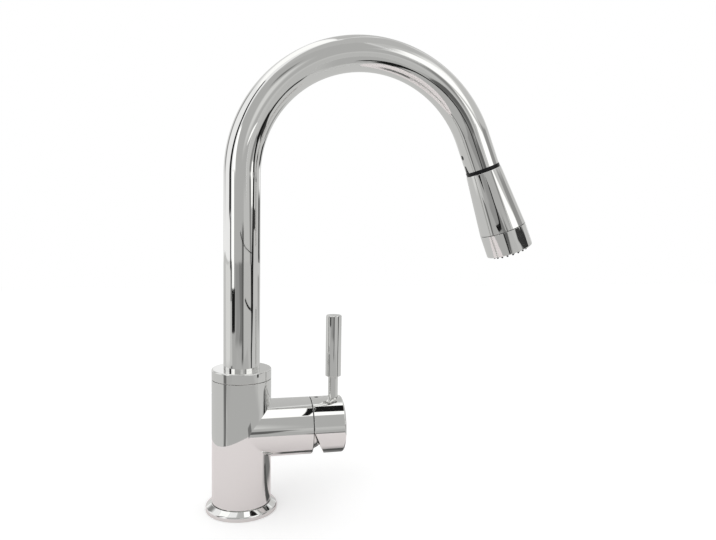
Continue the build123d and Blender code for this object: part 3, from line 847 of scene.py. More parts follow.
class Wardrobe:
    """The finished materials, and the rules for putting them on pieces."""

    def __init__(self, housing: Matrix, head: Matrix) -> None:
        """Make each material once.

        Args:
            housing: The valve housing's frame.
            head: The spray head's frame.
        """
        self.chrome = CHROME.make()
        self.materials = {
            Slot.CHROME: self.chrome, Slot.STEEL: STEEL.make(), Slot.BRASS: BRASS.make(head),
            Slot.BLACK_RUBBER: BLACK_RUBBER.make(), Slot.BLACK_PLASTIC: BLACK_PLASTIC.make(),
            Slot.FACE_RUBBER: FACE_RUBBER.make(), Slot.WHITE_PLASTIC: WHITE_PLASTIC.make(),
            Slot.GREY_PLASTIC: GREY_PLASTIC.make(), Slot.CERAMIC: CERAMIC.make(),
            Slot.HOSE_BRAID: HOSE_BRAID.make(),
        }
        self.stem_brass = BRASS.make(housing)
        self.taut_braid = HOSE_BRAID.make(head)

    def dress(self, piece: Piece, slot: Slot, material: bpy.types.Material | None = None) -> None:
        """Put a slot's material on a piece.

        Args:
            piece: The piece to dress.
            slot: The record's slot that it belongs to.
            material: Another material of the same slot.
        """
        piece.data.materials.clear()
        piece.data.materials.append(material or self.materials[slot])

    def hand_over(self, piece: Piece, slot: Slot, body: Body, *nodes: str,
                  material: bpy.types.Material | None = None) -> None:
        """Dress a finished piece, let it ride and let it stand for its nodes.

        Args:
            piece: The finished piece.
            slot: The record's slot that it belongs to.
            body: The body that carries it.
            nodes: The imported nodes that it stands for.
            material: Another material of the same slot.
        """
        self.dress(piece, slot, material)
        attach(piece, body.value)
        if nodes:
            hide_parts(*nodes)
        log.info("%s: %d faces, rides on %s", piece.name, len(piece.data.polygons), body.value)


class Workshop:
    """What every sub-assembly needs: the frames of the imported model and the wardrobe."""

    def __init__(self, frame: dict) -> None:
        """Read the frames of the valve housing, the spout's end and the spray head.
        """
        joints = {joint["name"]: joint for joint in frame["joints"]}
        self.nodes = frame["nodes"]
        self.record = frame["record"]
        self.pivot = Vector(joints["lever_tilt"]["pos_m"])
        self.spout_end = Vector(joints["nozzle_twist"]["pos_m"])
        self.outward = Vector(joints["spray_pull"]["axis"]).normalized()
        self.inward = Vector((self.outward.z, 0, -self.outward.x))
        self.housing_height = self.pivot.z
        self.housing = axes(Vector((0, 0, self.housing_height)), Vector((0, 0, 1)), Vector((1, 0, 0)))
        self.end = axes(self.spout_end, self.inward, self.outward)
        head_top = self.spout_end + self.outward * (DOCK_RING + FACE_GAP)
        self.head = axes(head_top, self.inward, self.outward)
        self.wardrobe = Wardrobe(self.housing, self.head)


FACE_GAP = 0.0001
SLIP_GAP = 0.00005
DOCK_RING = 0.003


def top_of(node: str) -> float:
    """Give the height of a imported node's top."""
    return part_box(node)[1].z


def foot_of(node: str) -> float:
    """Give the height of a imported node's foot."""
    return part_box(node)[0].z


def reach_of(node: str) -> float:
    """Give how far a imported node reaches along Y, which is a round piece's radius."""
    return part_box(node)[1].y


@dataclass
class DeckFixing:
    """Base ring on the deck, and the clamp below it."""

    shop: Workshop
    hole_radius: float = 0.01755
    rim_height: float = 0.0033
    rim_rounding: float = 0.0009
    seat_radius: float = 0.02155
    seat_depth: float = 0.0035
    body_reveal: float = 0.0235
    seal_groove: tuple[float, float, float] = (0.0241, 0.0263, 0.0021)
    stud_ring: float = 0.013
    stud_angles: tuple[float, float] = (220.0, 140.0)
    thread_pitch: float = 0.00125
    thread_depth: float = 0.00068
    stud_radius: float = 0.004
    nut_flats: float = 0.013
    nut_edge: float = 0.0007

    def build(self) -> None:
        """Model and dress the pieces of the deck fixing."""
        self.flange()
        self.clamp_plate("clamp_gasket", Slot.BLACK_RUBBER)
        self.clamp_plate("clamp_bracket", Slot.STEEL)
        self.studs()
        self.nuts()

    def flange(self) -> None:
        """Base ring with its sloping top, rounded rim and the groove for its seal."""
        radius = reach_of("base_flange")
        height = top_of("base_flange")
        floor = height - self.seat_depth
        inner, outer, depth = self.seal_groove
        ring = lathe("base_ring", [
            Corner(self.hole_radius, 0), Corner(inner, 0), Corner(inner, depth), Corner(outer, depth),
            Corner(outer, 0), Corner(radius, 0, 0.0003), Corner(radius, self.rim_height, self.rim_rounding),
            Corner(self.body_reveal, height, 0.0003), Corner(self.seat_radius, height),
            Corner(self.seat_radius, floor), Corner(self.hole_radius, floor)], steps=ROUND_STEPS + 32)
        smooth(ring)
        self.shop.wardrobe.hand_over(ring, Slot.CHROME, Body.BASE, "base_flange")

    def clamp_plate(self, node: str, slot: Slot) -> None:
        """Horseshoe plate: a disc, open to the front for the hoses, with holes for the studs.

        Args:
            node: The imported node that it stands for.
            slot: Rubber or steel.
        """
        low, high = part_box(node)
        radius = high.y
        opening = self.hole_radius
        plate = rod(node + "_plate", radius, low.z, high.z, steps=ROUND_STEPS)
        middle = (low.z + high.z) / 2
        gap_start = self.stud_ring * math.cos(math.radians(60)) - 0.0045 - 0.003
        gap = block("gap", (2 * radius, 2 * (opening - SLIP_GAP), 0.01), (gap_start + radius, 0, middle))
        hose_hole = rod("hose_hole", 0.0068, low.z - 0.001, high.z + 0.001)
        holes = [place(rod("hole", self.stud_radius + 0.0003, low.z - 0.001, high.z + 0.001),
                       spun(angle, self.stud_ring)) for angle in self.stud_angles]
        cut(plate, gap, hose_hole, *holes)
        with editing(plate):
            pick_edges(plate, lambda a, b: min(a.x, b.x) > opening and abs(a.x - b.x) < SAME_PLACE
                       and abs(a.z - b.z) > 0.001)
            bpy.ops.mesh.bevel(offset=0.002, segments=6, affect="EDGES")
        round_angles(plate, 0.0003)
        smooth(plate)
        self.shop.wardrobe.hand_over(plate, slot, Body.BASE, node)

    def studs(self) -> None:
        """Two studs with real threads: a helical ridge wound on a core."""
        low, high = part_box("mounting_studs")
        core = self.stud_radius - self.thread_depth
        length = high.z - low.z
        bar = lathe("stud_core", [Corner(core, low.z, 0.0003), Corner(core, high.z, 0.0003)],
                    steps=SMALL_STEPS, closed=False, segments=2)
        ridge = self.thread(core, low.z + self.thread_pitch, length - 2 * self.thread_pitch)
        stud = join("stud", [bar, ridge])
        smooth(stud, 50)
        copies = repeat(stud, [spun(angle, self.stud_ring) for angle in self.stud_angles])
        self.shop.wardrobe.hand_over(join("threaded_studs", copies), Slot.STEEL, Body.BASE,
                                     "mounting_studs")

    def thread(self, core: float, start: float, length: float) -> Piece:
        """Helical ridge of a thread, closed at both ends.

        Args:
            core: Radius that it stands on.
            start: Height of its lower end.
            length: Height that it climbs.

        Returns:
            The ridge.
        """
        clear_selection()
        bpy.ops.mesh.primitive_circle_add(vertices=3, radius=self.thread_depth,
                                          rotation=(math.pi / 2, 0, 0))
        ridge = name_piece("ridge")
        half = self.thread_pitch * 0.46
        for vertex, (out, rise) in zip(ridge.data.vertices, ((-0.0002, -half), (self.thread_depth, 0.0),
                                                             (-0.0002, half))):
            vertex.co = (core + out, 0, start + rise)
        turns = int(length / self.thread_pitch)
        modify(ridge, "SCREW", angle=FULL_TURN * turns, screw_offset=self.thread_pitch * turns,
               steps=24 * turns, render_steps=24 * turns, use_merge_vertices=False,
               use_normal_calculate=True)
        with editing(ridge):
            bpy.ops.mesh.select_non_manifold()
            bpy.ops.mesh.edge_face_add()
            bpy.ops.mesh.select_all(action="SELECT")
            bpy.ops.mesh.normals_make_consistent(inside=False)
        return ridge

    def nuts(self) -> None:
        """Two hexagon nuts with bevelled corners."""
        low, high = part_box("stud_nuts")
        corner = self.nut_flats / 2 / math.cos(math.radians(30))
        nut = rod("nut", corner, low.z, high.z, steps=6)
        bevel = lathe("bevel", [Corner(self.nut_flats / 2, low.z), Corner(corner, low.z + self.nut_edge),
                                Corner(corner, high.z - self.nut_edge), Corner(self.nut_flats / 2, high.z)],
                      closed=False, steps=FINE_STEPS)
        combine(nut, bevel, "INTERSECT")
        cut(nut, rod("bore", self.stud_radius + SLIP_GAP, low.z - 0.001, high.z + 0.001, SMALL_STEPS))
        round_angles(nut, 0.0002, segments=2)
        smooth(nut)
        copies = repeat(nut, [spun(angle, self.stud_ring) for angle in self.stud_angles])
        self.shop.wardrobe.hand_over(join("hexagon_nuts", copies), Slot.STEEL, Body.BASE, "stud_nuts")


@dataclass
class BodyCasting:
    """Upright barrel with the mitred side housing, bored for the spout, the valve and the hoses."""

    shop: Workshop
    foot_radius: float = 0.0215
    foot_start: float = 0.0068
    housing_radius: float = 0.0225
    seam_round: float = 0.00022
    pocket: tuple[float, float] = (0.019, 0.026)
    duct_radius: float = 0.0065
    port_radius: float = 0.0045
    port_depth: float = 0.010
    port_ring: float = 0.013
    port_angles: tuple[float, float, float] = (0.0, 60.0, -60.0)
    stud_depth: float = 0.009
    socket: tuple[float, float] = (0.017, 0.084)
    washer_recess: tuple[float, float] = (0.0218, 0.1031)
    chamber: tuple[float, float] = (0.0176, 0.022)
    nut_thread: tuple[float, float] = (0.02015, 0.0437)
    screw_height: float = 0.092
    screw_radius: float = 0.0025

    def build(self) -> None:
        """Model and dress the casting."""
        shop = self.shop
        radius = reach_of("faucet_body")
        low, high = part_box("faucet_body")
        top, reach = high.z, high.x
        barrel = lathe("body", [
            Corner(self.foot_radius, low.z), Corner(self.foot_radius, self.foot_start),
            Corner(radius, self.foot_start, self.seam_round), Corner(radius, top, self.seam_round)],
            steps=ROUND_STEPS + 32, closed=False, segments=4)
        housing = lathe("housing", [
            Corner(self.housing_radius, 0), Corner(self.housing_radius, reach, self.seam_round)],
            steps=ROUND_STEPS + 32, closed=False, segments=4)
        combine(barrel, place(housing, shop.housing), "UNION")
        pocket_radius, pocket_top = self.pocket
        socket_radius, socket_floor = self.socket
        recess_radius, recess_floor = self.washer_recess
        spare = 0.002
        cut(barrel,
            rod("pocket", pocket_radius, low.z - spare, pocket_top),
            rod("duct", self.duct_radius, pocket_top - spare, socket_floor + spare),
            rod("socket", socket_radius, socket_floor, top + spare),
            rod("recess", recess_radius, recess_floor, top + spare))
        for angle in self.port_angles:
            cut(barrel, place(rod("port", self.port_radius, pocket_top - spare,
                                  pocket_top + self.port_depth, SMALL_STEPS),
                              spun(angle, self.port_ring)))
        for angle in (220.0, 140.0):
            cut(barrel, place(rod("stud_hole", 0.00405, pocket_top - spare, pocket_top + self.stud_depth,
                                  SMALL_STEPS), spun(angle, self.port_ring)))
        chamber_radius, seat = self.chamber
        thread_radius, thread_start = self.nut_thread
        cut(barrel, place(rod("chamber", chamber_radius, seat, reach + spare), shop.housing),
            place(rod("thread", thread_radius, thread_start, reach + spare), shop.housing))
        screw = axes(Vector((0, 0, self.screw_height)), Vector((0, 1, 0)), Vector((-1, 0, 0)))
        cut(barrel, place(rod("screw_hole", self.screw_radius, 0.014, radius + spare, SMALL_STEPS), screw))
        keep_round(barrel, [
            RoundForm(Vector((0, 0, 0)), Vector((0, 0, 1)), radius),
            RoundForm(self.shop.housing.to_translation(), Vector((1, 0, 0)), self.housing_radius)])
        shop.wardrobe.hand_over(barrel, Slot.CHROME, Body.BASE, "faucet_body")


@dataclass
class ValveNut:
    """Domed nut that holds the valve, seen in the notch under the cap."""

    shop: Workshop
    thread_radius: float = 0.0201
    bore: float = 0.0159
    start: float = 0.044
    dome_radius: float = 0.0196
    dome_wall: float = 0.0018
    opening: float = 0.0126
    notches: int = 4
    notch_width: float = 0.003
    dome_steps: int = 20
    # Black ring on the housing's mouth, painted shade for the gap under the cap: inner radius, outer radius,
    # thickness.
    gap_shade_ring: tuple[float, float, float] = (0.0197, 0.02228, 0.00045)
    ring_round: float = 0.0001

    def build(self) -> None:
        """Model and dress the nut, and a thin black rubber ring on the housing's mouth that paints the shade
        of the gap under the cap.
        """
        shop = self.shop
        centre = self.shop.pivot.x
        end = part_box("faucet_body")[1].x
        inner = self.dome_radius - self.dome_wall
        outline = [Corner(self.bore, self.start), Corner(self.thread_radius, self.start),
                   Corner(self.thread_radius, end)]
        outline += self.dome(self.dome_radius, centre, end - centre)
        outline += reversed(self.dome(inner, centre, end - centre))
        outline += [Corner(self.bore, end - self.dome_wall)]
        nut = lathe("valve_nut", outline)
        nose = math.sqrt(self.dome_radius ** 2 - self.opening ** 2)
        for turn in range(self.notches):
            notch = block("notch", (0.014, self.notch_width, 0.006),
                          (self.opening + 0.007 - 0.001, 0, centre + nose + 0.003 - self.dome_wall))
            cut(nut, place(notch, spun(turn * 360 / self.notches)))
        smooth(place(nut, shop.housing))
        shop.wardrobe.hand_over(nut, Slot.CHROME, Body.BASE, "bonnet_nut")
        # Painted shade: the thin black ring darkens the housing's mouth, where the gap under the cap falls
        # into shade.
        inner, outer, thickness = self.gap_shade_ring
        ring = lathe("gap_shade_ring", [Corner(inner, end), Corner(outer, end),
                                    Corner(outer, end + thickness, self.ring_round),
                                    Corner(inner, end + thickness, self.ring_round)])
        smooth(place(ring, shop.housing))
        shop.wardrobe.hand_over(ring, Slot.BLACK_RUBBER, Body.BASE)

    def dome(self, radius: float, centre: float, rise: float) -> list[Corner]:
        """Corners along a dome, from where it leaves the nut to its opening.

        Args:
            radius: Radius of the dome.
            centre: Height of its centre.
            rise: Height of the first corner above the centre.

        Returns:
            The corners, in order.
        """
        first = math.asin(rise / radius)
        last = math.acos(self.opening / radius)
        angles = [first + (last - first) * step / self.dome_steps for step in range(self.dome_steps + 1)]
        return [Corner(radius * math.cos(a), centre + radius * math.sin(a)) for a in angles]


@dataclass
class Swivel:
    """Collar that turns on the body and holds the spout's tube."""

    shop: Workshop
    stem_radius: float = 0.016
    bore: float = 0.0124
    bush_seat: float = 0.01494
    groove_floor: float = 0.0146
    screw_height: float = 0.092
    screw_room: float = 0.0017
    collar_start: float = 0.1042
    tube_seat: float = 0.01405
    edge_round: float = 0.00022

    def build(self) -> None:
        """Model and dress the collar with its stem."""
        radius = reach_of("swivel_collar")
        top = top_of("swivel_collar")
        foot = foot_of("swivel_collar")
        stem = self.stem_radius
        outline = [Corner(self.bore, foot), Corner(stem, foot)]
        for low, high, floor in self.grooves():
            outline += [Corner(stem, low), Corner(floor, low), Corner(floor, high), Corner(stem, high)]
        outline += [Corner(stem, self.collar_start), Corner(radius, self.collar_start, self.edge_round),
                    Corner(radius, top, 0.001), Corner(self.tube_seat, top),
                    Corner(self.tube_seat, foot_of("spout_tube")), Corner(self.bore, foot_of("spout_tube"))]
        collar = lathe("swivel_collar_ring", outline, steps=ROUND_STEPS + 32, segments=6)
        smooth(collar)
        self.shop.wardrobe.hand_over(collar, Slot.CHROME, Body.SPOUT, "swivel_collar")

    def grooves(self) -> list[tuple[float, float, float]]:
        """Grooves in the stem, for the two bushes and the stop screw's point."""
        lower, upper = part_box("swivel_bush_lower"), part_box("swivel_bush_upper")
        return [(lower[0].z - FACE_GAP, lower[1].z + FACE_GAP, self.bush_seat),
                (self.screw_height - self.screw_room, self.screw_height + self.screw_room,
                 self.groove_floor),
                (upper[0].z - FACE_GAP, upper[1].z + FACE_GAP, self.bush_seat)]


@dataclass
class Spout:
    """Gooseneck tube, the black docking guide in its end, and the hose inside it."""

    shop: Workshop
    wall: float = 0.0012
    bend_radius: float = 0.0975
    bend_height: float = 0.262
    end_straight: float = 0.026
    bend_steps: int = 128
    leg_steps: int = 8
    guide_depth: float = 0.020
    guide_wall: float = 0.0021
    ring_radius: float = 0.0143
    key_width: float = 0.005
    key_tip: float = 0.0017
    key_length: float = 0.006
    tab_radius: float = 0.0019
    tab_height: float = 0.0135
    hose_radius: float = 0.0055
    hose_bore: float = 0.00325
    ferrule_top: float = 0.0109

    @property
    def radius(self) -> float:
        """Outer radius of the tube."""
        return reach_of("spout_tube")

    @property
    def bend_angle(self) -> float:
        """How far the bend turns, in radians."""
        return math.pi - math.atan2(self.shop.outward.x, -self.shop.outward.z)

    def build(self) -> None:
        """Model and dress the spout's pieces."""
        self.tube()
        self.guide()
        self.hose_in_spout()
        self.hose_at_head()

    def bent(self, name: str, radius: float, foot: float, steps: int) -> Piece:
        """Open skin of a round bar along the spout: up the leg and round the bend.

        Args:
            name: Name of the piece.
            radius: Its radius.
            foot: Height of its lower end.
            steps: Facets round it.

        Returns:
            The skin, with its upper end's edges selected in edit mode last.
        """
        clear_selection()
        bpy.ops.mesh.primitive_circle_add(vertices=steps, radius=radius, location=(0, 0, foot))
        skin = name_piece(name)
        with editing(skin):
            bpy.ops.mesh.select_all(action="SELECT")
            rise = (self.bend_height - foot) / self.leg_steps
            for _ in range(self.leg_steps):
                bpy.ops.mesh.extrude_edges_move(TRANSFORM_OT_translate={"value": (0, 0, rise)})
            bpy.ops.mesh.spin(steps=self.bend_steps, angle=self.bend_angle, dupli=False,
                              center=(self.bend_radius, 0, self.bend_height), axis=(0, -1, 0))
        return skin

    def end_rim(self, skin: Piece) -> Callable[[Vector, Vector], bool]:
        """Give the test for the edges at the end of the bend.

        Args:
            skin: The bent skin.

        Returns:
            A test of an edge's two ends.
        """
        start = self.shop.spout_end - self.shop.outward * self.end_straight
        axis = self.shop.outward

        def on_rim(a: Vector, b: Vector) -> bool:
            return abs((a - start).dot(axis)) < SAME_PLACE and abs((b - start).dot(axis)) < SAME_PLACE \
                and a.x > self.bend_radius and b.x > self.bend_radius

        return on_rim

    def tube(self) -> None:
        """Chromed tube with its wall, the slot for the key and the hole for the tab."""
        shop = self.shop
        foot = foot_of("spout_tube")
        tube = self.bent("gooseneck", self.radius, foot, ROUND_STEPS)
        with editing(tube):
            pick_edges(tube, self.end_rim(tube))
            for _ in range(2):
                bpy.ops.mesh.extrude_edges_move(
                    TRANSFORM_OT_translate={"value": shop.outward * (self.end_straight / 2)})
            bpy.ops.mesh.select_all(action="SELECT")
            bpy.ops.mesh.remove_doubles(threshold=SAME_PLACE / 4)
            bpy.ops.mesh.normals_make_consistent(inside=False)
        self.face_outwards(tube)
        modify(tube, "SOLIDIFY", thickness=self.wall, offset=-1, use_even_offset=True, use_rim=True)
        cut(tube, place(self.key("slot", self.radius + self.wall, FACE_GAP), shop.end),
            place(self.tab("tab_hole", self.radius + self.wall, FACE_GAP), shop.end))
        keep_round(tube, [RoundForm(shop.spout_end, shop.outward, self.radius)])
        shop.wardrobe.hand_over(tube, Slot.CHROME, Body.SPOUT, "spout_tube")

    def face_outwards(self, skin: Piece) -> None:
        """Turn an open skin's faces away from the leg's middle line.

        Args:
            skin: The open skin.
        """
        face = min(skin.data.polygons, key=lambda polygon: polygon.center.z)
        if Vector((face.center.x, face.center.y, 0)).dot(face.normal) < 0:
            with editing(skin, "FACE"):
                bpy.ops.mesh.select_all(action="SELECT")
                bpy.ops.mesh.flip_normals()

    def key(self, name: str, outer: float, spare: float) -> Piece:
        """Tapered key on the inner side of the spout's end.

        Args:
            name: Name of the piece.
            outer: Radius that it reaches.
            spare: Room round it.

        Returns:
            The wedge, in the spout end's frame.
        """
        inner = self.radius - self.wall - self.guide_wall
        length = self.key_length + spare
        wedge = block(name, (outer - inner, self.key_width + 2 * spare, length),
                      ((outer + inner) / 2, 0, -length / 2))
        shrink = (self.key_tip + 2 * spare) / (self.key_width + 2 * spare)
        with editing(wedge, "FACE"):
            pick_faces(wedge, lambda middle, normal: normal.z < -0.5)
            bpy.ops.transform.resize(value=(1, shrink, 1), center_override=(0, 0, -length))
        return wedge

    def tab(self, name: str, outer: float, spare: float) -> Piece:
        """Round snap tab above the key.

        Args:
            name: Name of the piece.
            outer: Radius that it reaches.
            spare: Room round it.

        Returns:
            The peg, in the spout end's frame.
        """
        inner = self.radius - self.wall - self.guide_wall
        side = axes(Vector((0, 0, -self.tab_height)), Vector((0, 1, 0)), Vector((1, 0, 0)))
        return place(rod(name, self.tab_radius + spare, inner, outer, SMALL_STEPS), side)

    def guide(self) -> None:
        """Docking guide: a sleeve in the tube, the black ring, the key and the snap tab."""
        shop = self.shop
        sleeve = self.radius - self.wall - SLIP_GAP
        bore = sleeve - self.guide_wall
        guide = lathe("docking_guide", [
            Corner(bore, -self.guide_depth), Corner(sleeve, -self.guide_depth, 0.0003),
            Corner(sleeve, 0), Corner(self.ring_radius, 0, 0.0004),
            Corner(self.ring_radius, DOCK_RING, 0.0005), Corner(bore, DOCK_RING, 0.0006)], segments=4)
        key = self.key("key", self.radius - 0.0001, 0)
        round_angles(key, 0.0003, segments=2)
        tab = self.tab("tab", self.radius - 0.0001, 0)
        round_angles(tab, 0.0003, segments=2)
        guide = join("docking_guide", [guide, key, tab])
        smooth(place(guide, shop.end))
        shop.wardrobe.hand_over(guide, Slot.BLACK_PLASTIC, Body.SPOUT, "docking_insert")

    def hose_in_spout(self) -> None:
        """Hose from below the deck to the end of the bend."""
        hose = self.bent("pull_hose_run", self.hose_radius, foot_of("pull_hose"), SMALL_STEPS)
        with editing(hose):
            bpy.ops.mesh.select_all(action="SELECT")
            bpy.ops.mesh.remove_doubles(threshold=SAME_PLACE / 4)
        self.face_outwards(hose)
        modify(hose, "SOLIDIFY", thickness=self.hose_radius - self.hose_bore, offset=-1,
               use_even_offset=True, use_rim=True)
        smooth(hose)
        self.shop.wardrobe.hand_over(hose, Slot.HOSE_BRAID, Body.SPOUT, "pull_hose")

    def hose_at_head(self) -> None:
        """Last straight stretch of the hose, from the end of the bend to the head."""
        shop = self.shop
        start = -self.end_straight
        end = DOCK_RING + FACE_GAP - self.ferrule_top
        hose = lathe("pull_hose_end", [
            Corner(self.hose_bore, start), Corner(self.hose_radius, start), Corner(self.hose_radius, end),
            Corner(self.hose_bore, end)], steps=SMALL_STEPS)
        smooth(place(hose, shop.end))
        shop.wardrobe.dress(hose, Slot.HOSE_BRAID, shop.wardrobe.taut_braid)
        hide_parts("pull_hose")
        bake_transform(hose)
        log.info("%s: blends from the spout to the head", hose.name)


@dataclass
class SprayHead:
    """Chromed cone on the hose, with the twisting nozzle and its black face."""

    shop: Workshop
    top_radius: float = 0.0148
    radius: float = 0.0195
    length: float = 0.0513
    wall: float = 0.002
    seam: float = 0.0004
    nozzle_length: float = 0.019
    inlet: float = 0.0103
    seam_round: float = 0.00022
    thread_radius: float = 0.00995
    neck_bore: float = 0.00505
    cone_lift: float = 0.0095
    cone_radius: float = 0.0082
    nut_depth: float = 0.012
    hose_radius: float = 0.0055
    crimp_start: float = -0.027
    crimp_end: float = -0.010
    crimp_wall: float = 0.0018
    crimp_grooves: int = 3
    face_recess: float = 0.001
    face_thickness: float = 0.0031
    face_wall: float = 0.0015
    skirt_start: float = 0.0642
    nub_height: float = 0.003
    nub_radius: float = 0.001
    nub_tip: float = 0.0007
    nub_rings: tuple[tuple[int, float], ...] = ((20, 0.015), (14, 0.0118))
    aerator_radius: float = 0.0091
    aerator_wall: float = 0.0013
    aerator_lip: float = 0.0005
    aerator_lip_width: float = 0.002

    @property
    def tip(self) -> float:
        """Distance of the nozzle's rim below the head's top."""
        return self.length + self.seam + self.nozzle_length

    @property
    def bore(self) -> float:
        """Inner radius of the nozzle's collar."""
        return self.radius - self.wall

    def build(self) -> None:
        """Model and dress the head's pieces."""
        self.shell()
        self.hose_nut()
        self.ferrule()
        self.collar()
        self.face()
        self.aerator()

    def shell(self) -> None:
        """Conical shell with its turned-in top."""
        slope = (self.radius - self.top_radius) / self.length
        inner_top = self.top_radius + slope * self.wall - self.wall
        shell = lathe("spray_shell", [
            Corner(self.inlet, 0, 0.0003), Corner(self.top_radius, 0, 0.0005),
            Corner(self.radius, self.length, self.seam_round), Corner(self.bore, self.length),
            Corner(inner_top, self.wall), Corner(self.inlet, self.wall)])
        smooth(place(shell, self.shop.head))
        self.shop.wardrobe.hand_over(shell, Slot.CHROME, Body.HEAD, "head_shell")

    def hose_nut(self) -> None:
        """Cone-nosed nut that centres the head in the docking guide."""
        nut = lathe("cone_nut", [
            Corner(self.neck_bore, -self.cone_lift), Corner(self.cone_radius, -self.cone_lift, 0.0005),
            Corner(self.thread_radius, 0, 0.0004), Corner(self.thread_radius, self.nut_depth),
            Corner(self.neck_bore, self.nut_depth)], steps=FINE_STEPS, segments=3)
        smooth(place(nut, self.shop.head))
        self.shop.wardrobe.hand_over(nut, Slot.BRASS, Body.HEAD, "hose_nut")

    def ferrule(self) -> None:
        """Crimped sleeve on the hose, with its crimping grooves, barb, neck and flange."""
        outer = self.hose_radius + SLIP_GAP + self.crimp_wall
        sleeve = self.hose_radius + SLIP_GAP
        bore, barb, neck, flange = 0.0023, 0.0032, 0.005, 0.008
        floor = 0.0009
        outline = [Corner(bore, self.crimp_start + floor), Corner(barb, self.crimp_start + floor),
                   Corner(barb, self.crimp_end - floor), Corner(sleeve, self.crimp_end - floor),
                   Corner(sleeve, self.crimp_start), Corner(outer, self.crimp_start, 0.0004)]
        pitch = (self.crimp_end - self.crimp_start) / (self.crimp_grooves + 1)
        for groove in range(1, self.crimp_grooves + 1):
            middle = self.crimp_start + pitch * groove
            outline += [Corner(outer, middle - 0.001, 0.0003), Corner(outer - 0.0006, middle, 0.0006),
                        Corner(outer, middle + 0.001, 0.0003)]
        outline += [Corner(outer, self.crimp_end, 0.0004), Corner(neck, self.crimp_end),
                    Corner(neck, self.nut_depth), Corner(flange, self.nut_depth),
                    Corner(flange, self.nut_depth + 0.002), Corner(bore, self.nut_depth + 0.002)]
        ferrule = lathe("crimped_ferrule", outline, steps=FINE_STEPS, segments=3)
        smooth(place(ferrule, self.shop.head))
        self.shop.wardrobe.hand_over(ferrule, Slot.BRASS, Body.HEAD, "hose_ferrule")

    def collar(self) -> None:
        """Chromed ring that twists below the seam."""
        start = self.length + self.seam
        collar = lathe("twist_ring", [
            Corner(self.bore, start), Corner(self.radius, start, self.seam_round),
            Corner(self.radius, self.tip, 0.0006), Corner(self.bore, self.tip, 0.0003)])
        smooth(place(collar, self.shop.head))
        self.shop.wardrobe.hand_over(collar, Slot.CHROME, Body.NOZZLE, "nozzle_collar")

    def face(self) -> None:
        """Black rubber face with two rings of nubs and its skirt inside the collar."""
        bottom = self.tip - self.face_recess
        top = bottom - self.face_thickness
        outer = self.bore - SLIP_GAP
        hole = self.aerator_radius + SLIP_GAP
        plate = lathe("face_plate", [
            Corner(hole, top), Corner(outer - self.face_wall + SLIP_GAP, top),
            Corner(outer - self.face_wall + SLIP_GAP, self.skirt_start), Corner(outer, self.skirt_start),
            Corner(outer, bottom, 0.0003), Corner(hole, bottom, 0.0002)], segments=3)
        nub = lathe("nub", [
            Corner(self.nub_radius, bottom - 0.0005), Corner(self.nub_radius, bottom),
            Corner(self.nub_tip, bottom + self.nub_height, 0.0002),
            Corner(self.nub_tip * 0.45, bottom + self.nub_height),
            Corner(self.nub_tip * 0.45, bottom + self.nub_height - 0.0008)],
            steps=20, segments=2, closed=False)
        frames = [spun(turn * 360 / count, radius) for count, radius in self.nub_rings
                  for turn in range(count)]
        face = join("spray_face_rubber", [plate, *repeat(nub, frames)])
        smooth(place(face, self.shop.head), 45)
        self.shop.wardrobe.hand_over(face, Slot.FACE_RUBBER, Body.NOZZLE, "spray_face")

    def aerator(self) -> None:
        """Sleeve of the aerator with its lip in the black face."""
        bottom = self.tip - self.face_recess
        end = bottom + self.aerator_lip
        inner = self.aerator_radius - self.aerator_wall
        sleeve = lathe("aerator_sleeve", [
            Corner(inner, bottom - self.face_thickness + FACE_GAP),
            Corner(self.aerator_radius, bottom - self.face_thickness + FACE_GAP),
            Corner(self.aerator_radius, end, 0.0002),
            Corner(self.aerator_radius - self.aerator_lip_width, end, 0.0002),
            Corner(self.aerator_radius - self.aerator_lip_width, end - self.aerator_lip),
            Corner(inner, end - self.aerator_lip)], steps=FINE_STEPS, segments=2)
        smooth(place(sleeve, self.shop.head))
        self.shop.wardrobe.hand_over(sleeve, Slot.GREY_PLASTIC, Body.NOZZLE, "aerator_shell")


